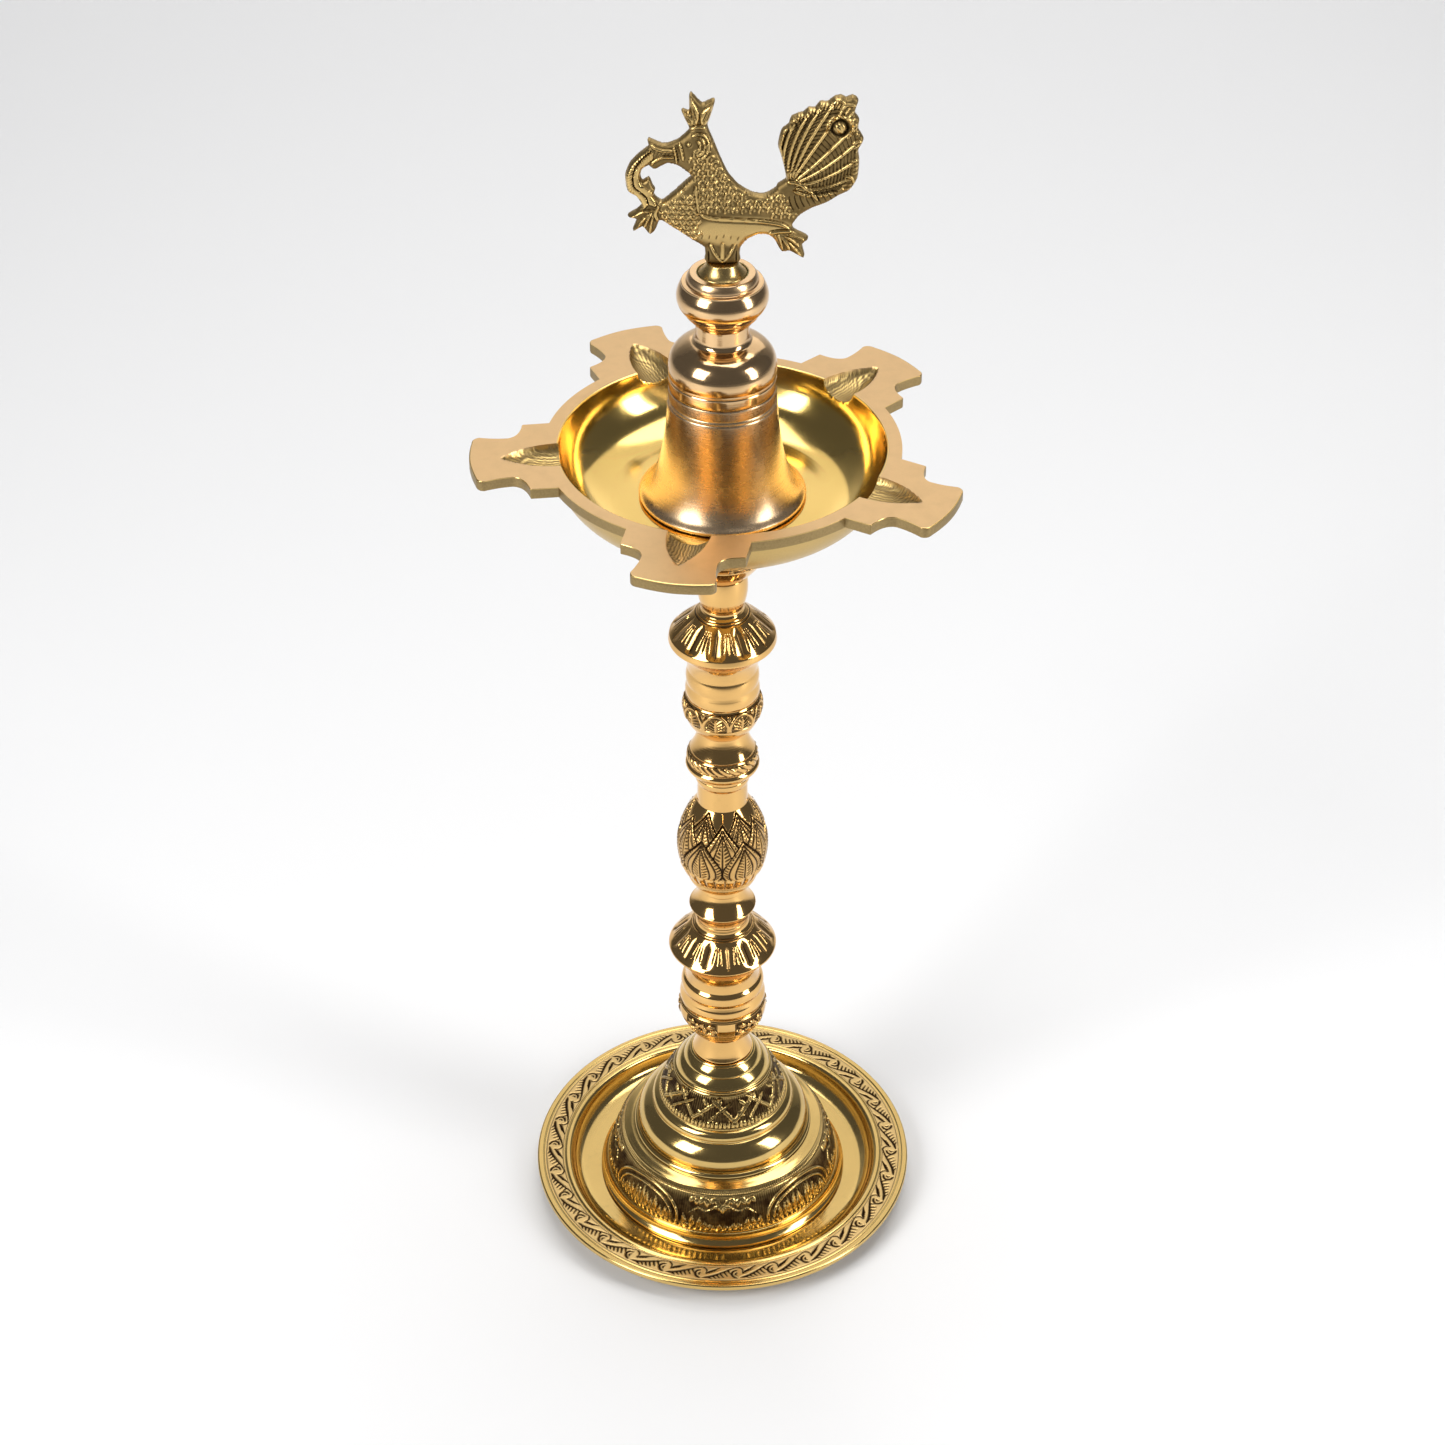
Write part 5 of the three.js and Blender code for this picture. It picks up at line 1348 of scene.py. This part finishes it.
def make_bird():
    """The peacock: a grid over its outline, its two sides standing off the middle by the
    half thickness and the relief. Cells inside the outline are kept, their outer corners
    moved on to the line, and a short wall joins the two sides."""
    gx, gy, far = bird_field()
    cells = (far[:-1, :-1] + far[1:, :-1] + far[:-1, 1:] + far[1:, 1:]) / 4 < 0
    for _ in range(8):
        a, b, c, d = cells[:-1, :-1], cells[1:, 1:], cells[1:, :-1], cells[:-1, 1:]
        bad = (a & b & ~c & ~d) | (~a & ~b & c & d)
        if not bad.any():
            break
        cells[:-1, :-1] |= bad
        cells[1:, :-1] |= bad
        cells[:-1, 1:] |= bad
        cells[1:, 1:] |= bad
    patch = Carving(BIRD_PITCH, gx.shape[1], gy[:, 0] - BIRD_FOOT, False)
    bird_relief(patch)

    depth = np.clip(-far, 0, None)
    full = 2.05 + 1.15 * np.maximum.reduce([
        soft_blob(gx, gy, 2, 18, 19, 10), soft_blob(gx, gy, -10, 26, 11, 13, 0.5),
        soft_blob(gx, gy, -8, 43, 6, 10), 0.6 * soft_blob(gx, gy, 16, 26, 12, 9, 0.4),
        soft_blob(gx, gy, 0, 8, 6, 6)])
    round_off = np.sqrt(1 - (1 - np.clip(depth / (0.55 * full + 0.5), 0, 1)) ** 2)
    half = full * (0.5 + 0.5 * round_off)
    relief = patch.lift * np.clip(depth / 0.5, 0, 1)
    half = np.clip(half + relief, 0.5, 3.46)

    slope_y, slope_x = np.gradient(far, BIRD_PITCH)
    steep = np.maximum(np.hypot(slope_x, slope_y), 0.3)
    used = np.zeros(gx.shape, bool)
    for di in (0, 1):
        for dj in (0, 1):
            used[di:gx.shape[0] - 1 + di, dj:gx.shape[1] - 1 + dj] |= cells
    inner = np.zeros(gx.shape, bool)
    inner[1:-1, 1:-1] = cells[:-1, :-1] & cells[1:, :-1] & cells[:-1, 1:] & cells[1:, 1:]
    rim = used & ~inner
    shift = np.where(rim, np.clip(far, -0.3, 0.3), 0)
    px, py = gx - shift * slope_x / steep, gy - shift * slope_y / steep
    low, high = (np.array(corner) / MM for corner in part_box("finial_peacock"))
    flange = float(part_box("finial_screw")[1].z) / MM - BIRD_SEAT
    px, py = np.clip(px, low[0] - 0.2, high[0] + 0.2), py + flange

    index = np.full(gx.shape, -1)
    index[used] = np.arange(used.sum())
    total = used.sum()
    i, j = np.nonzero(cells)
    a, b, c, d = index[i, j], index[i, j + 1], index[i + 1, j + 1], index[i + 1, j]
    front = np.stack([a, b, c, d], 1)
    back = np.stack([a, d, c, b], 1) + total
    edges = np.vstack([front[:, [0, 1]], front[:, [1, 2]], front[:, [2, 3]], front[:, [3, 0]]])
    key = edges[:, 0].astype(np.int64) * total + edges[:, 1]
    reverse = edges[:, 1].astype(np.int64) * total + edges[:, 0]
    open_edges = edges[~np.isin(key, reverse)]
    rim_ids = index[rim]
    middle = np.full(total, -1)
    middle[rim_ids] = np.arange(len(rim_ids)) + 2 * total
    p, q = open_edges[:, 0], open_edges[:, 1]
    wall = np.vstack([np.stack([q, p, middle[p], middle[q]], 1),
                      np.stack([middle[q], middle[p], p + total, q + total], 1)])
    x, z, h = px[used], py[used], half[used]
    # the middle line of the wall stands out a little, which rounds the edge
    out_x, out_z = (slope_x / steep)[rim], (slope_y / steep)[rim]
    points = np.vstack([np.stack([x, -h, z], 1), np.stack([x, h, z], 1),
                        np.stack([px[rim] + 0.25 * out_x, np.zeros(rim.sum()), py[rim] + 0.25 * out_z], 1)])
    cut = np.concatenate([patch.cut[used], patch.cut[used], np.full(rim.sum(), 0.35)])
    satin = np.clip(np.concatenate([0.5 - 0.8 * patch.lift[used]] * 2 + [np.full(rim.sum(), 0.8)]), 0, 1)
    make_piece("peacock", points, np.vstack([front, back, wall]), None,
               {"cut": np.clip(cut, 0, 1), "satin": satin, "raw": np.zeros(len(points))},
               BIRD_BRASS, "finial", ["finial_peacock"])


def make_finial_screw():
    """The flanged collar under the bird and its threaded stud."""
    screw = Turned("finial_screw", (
        Contour(0, -9.8).to(2.2, -9.8, 0.5).to(2.65, -9.3, 0.2).to(2.65, -1.2, 0.14, "stud").to(3.0, -0.9, 0.2)
        .to(3.0, 0, 0.3).to(7.7, 0, 0.6).to(8, 0.35, 0.2).to(7.9, 0.8, 0.2).bow(5.3, 4.5, -0.4, 0.35)
        .to(5.0, 4.8, 0.2).to(0, 4.8, 0.8)), 200, ease=0.15)
    cut_thread(screw, "stud", 1.2, 2.65, 3.2)
    screw.raw = np.where(screw.tags == "stud", 0.8, 0.1)
    screw.piece("finial_collar", "finial_thread", BIRD_BRASS, "antique_brass")


make_bird()
make_finial_screw()

for node in ("base_lock_nut", "stem_mouth_bush", "stem_lower_nipple", "stem_middle_nipple", "stem_upper_nipple",
             "stem_top_bush", "dish_socket_bush"):
    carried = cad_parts[node]
    for holder in carried.material_slots:
        holder.material = THREAD_BRASS


# ---------------------------------------------------------------- floor, light and camera

def plain(name, colour, roughness):
    """A flat matt finish for the floor, its tone shifted very slightly by a slow noise."""
    material = bpy.data.materials.new(name)
    material.use_nodes = True
    nodes, links = material.node_tree.nodes, material.node_tree.links
    shader = nodes["Principled BSDF"]
    shader.inputs["Roughness"].default_value = roughness
    cloud = nodes.new("ShaderNodeTexNoise")
    cloud.inputs["Scale"].default_value = 3
    ramp = nodes.new("ShaderNodeMix")
    ramp.data_type = "RGBA"
    ramp.inputs[6].default_value = (*[c * 0.985 for c in colour], 1)
    ramp.inputs[7].default_value = (*colour, 1)
    place = nodes.new("ShaderNodeTexCoord")
    links.new(place.outputs["Object"], cloud.inputs["Vector"])
    links.new(cloud.outputs["Fac"], ramp.inputs[0])
    links.new(ramp.outputs[2], shader.inputs["Base Color"])
    return material


def make_floor():
    """A pale sheet: flat at the lamp and sweeping up far behind it by a quarter circle."""
    u = np.linspace(-4, 4, 25)
    bend = np.linspace(0.1, np.pi / 2, 12)
    run = np.concatenate([np.linspace(-4, 2.2, 20), 2.2 + 0.8 * np.sin(bend), [3.0, 3.0]])
    rise = np.concatenate([np.zeros(20), 0.8 * (1 - np.cos(bend)), [2.0, 3.5]])
    x, y = np.meshgrid(u, run)
    z = np.repeat(rise[:, None], len(u), 1)
    points = np.stack([x, y, z], -1).reshape(-1, 3)
    i, j = np.meshgrid(np.arange(len(run) - 1), np.arange(len(u) - 1), indexing="ij")
    a = i * len(u) + j
    faces = np.stack([a, a + 1, a + len(u) + 1, a + len(u)], -1).reshape(-1, 4)
    mesh = bpy.data.meshes.new("floor_sheet")
    mesh.from_pydata(points.tolist(), [], faces.tolist())
    mesh.polygons.foreach_set("use_smooth", np.ones(len(faces), bool))
    mesh.materials.append(plain("floor_white", (0.86, 0.86, 0.86), 0.6))
    floor = bpy.data.objects.new("floor_sheet", mesh)
    bpy.context.scene.collection.objects.link(floor)


def softbox(name, place, aim, width, height, power, colour=(1, 1, 1)):
    """A rectangular lamp at a place, facing a point."""
    light = bpy.data.lights.new(name, "AREA")
    light.shape = "RECTANGLE"
    light.size, light.size_y, light.energy, light.color = width, height, power, colour
    holder = bpy.data.objects.new(name, light)
    holder.location = place
    holder.rotation_euler = (Vector(aim) - Vector(place)).to_track_quat("-Z", "Y").to_euler()
    bpy.context.scene.collection.objects.link(holder)


def make_camera(elevation, distance, lens, aim):
    """A camera in front of the lamp, its height set by the elevation of its line of sight."""
    camera = bpy.data.objects.new("front_camera", bpy.data.cameras.new("front_camera"))
    camera.data.lens = lens
    camera.data.sensor_width = 36
    aim = Vector(aim)
    place = aim + Vector((0, -np.cos(elevation), np.sin(elevation))) * distance
    camera.location = place
    camera.rotation_euler = (aim - place).to_track_quat("-Z", "Y").to_euler()
    bpy.context.scene.collection.objects.link(camera)
    bpy.context.scene.camera = camera


make_floor()
softbox("left_softbox", (-1.1, -0.9, 1.1), (0, 0, 0.22), 0.7, 1.1, 21)
softbox("right_softbox", (1.2, -0.5, 0.8), (0, 0, 0.25), 0.35, 1.1, 11)
softbox("top_softbox", (0.1, 0.35, 1.7), (0, 0, 0.2), 1.2, 1.2, 15)
softbox("backdrop_light", (0, 1.9, 1.5), (0, 2.9, 0.2), 3.0, 0.6, 14)
softbox("back_softbox", (0.25, 1.55, 1.5), (0, 0, 0.3), 1.8, 1.2, 5.5, (1.0, 0.97, 0.93))
world = bpy.data.worlds.new("studio")
world.use_nodes = True
world.node_tree.nodes["Background"].inputs["Color"].default_value = (0.9, 0.92, 1.0, 1)
world.node_tree.nodes["Background"].inputs["Strength"].default_value = 0.12
bpy.context.scene.world = world
bpy.context.scene.view_settings.view_transform = "Standard"
make_camera(np.radians(37), 1.06, 73, (0.0, 0.0, 0.226))
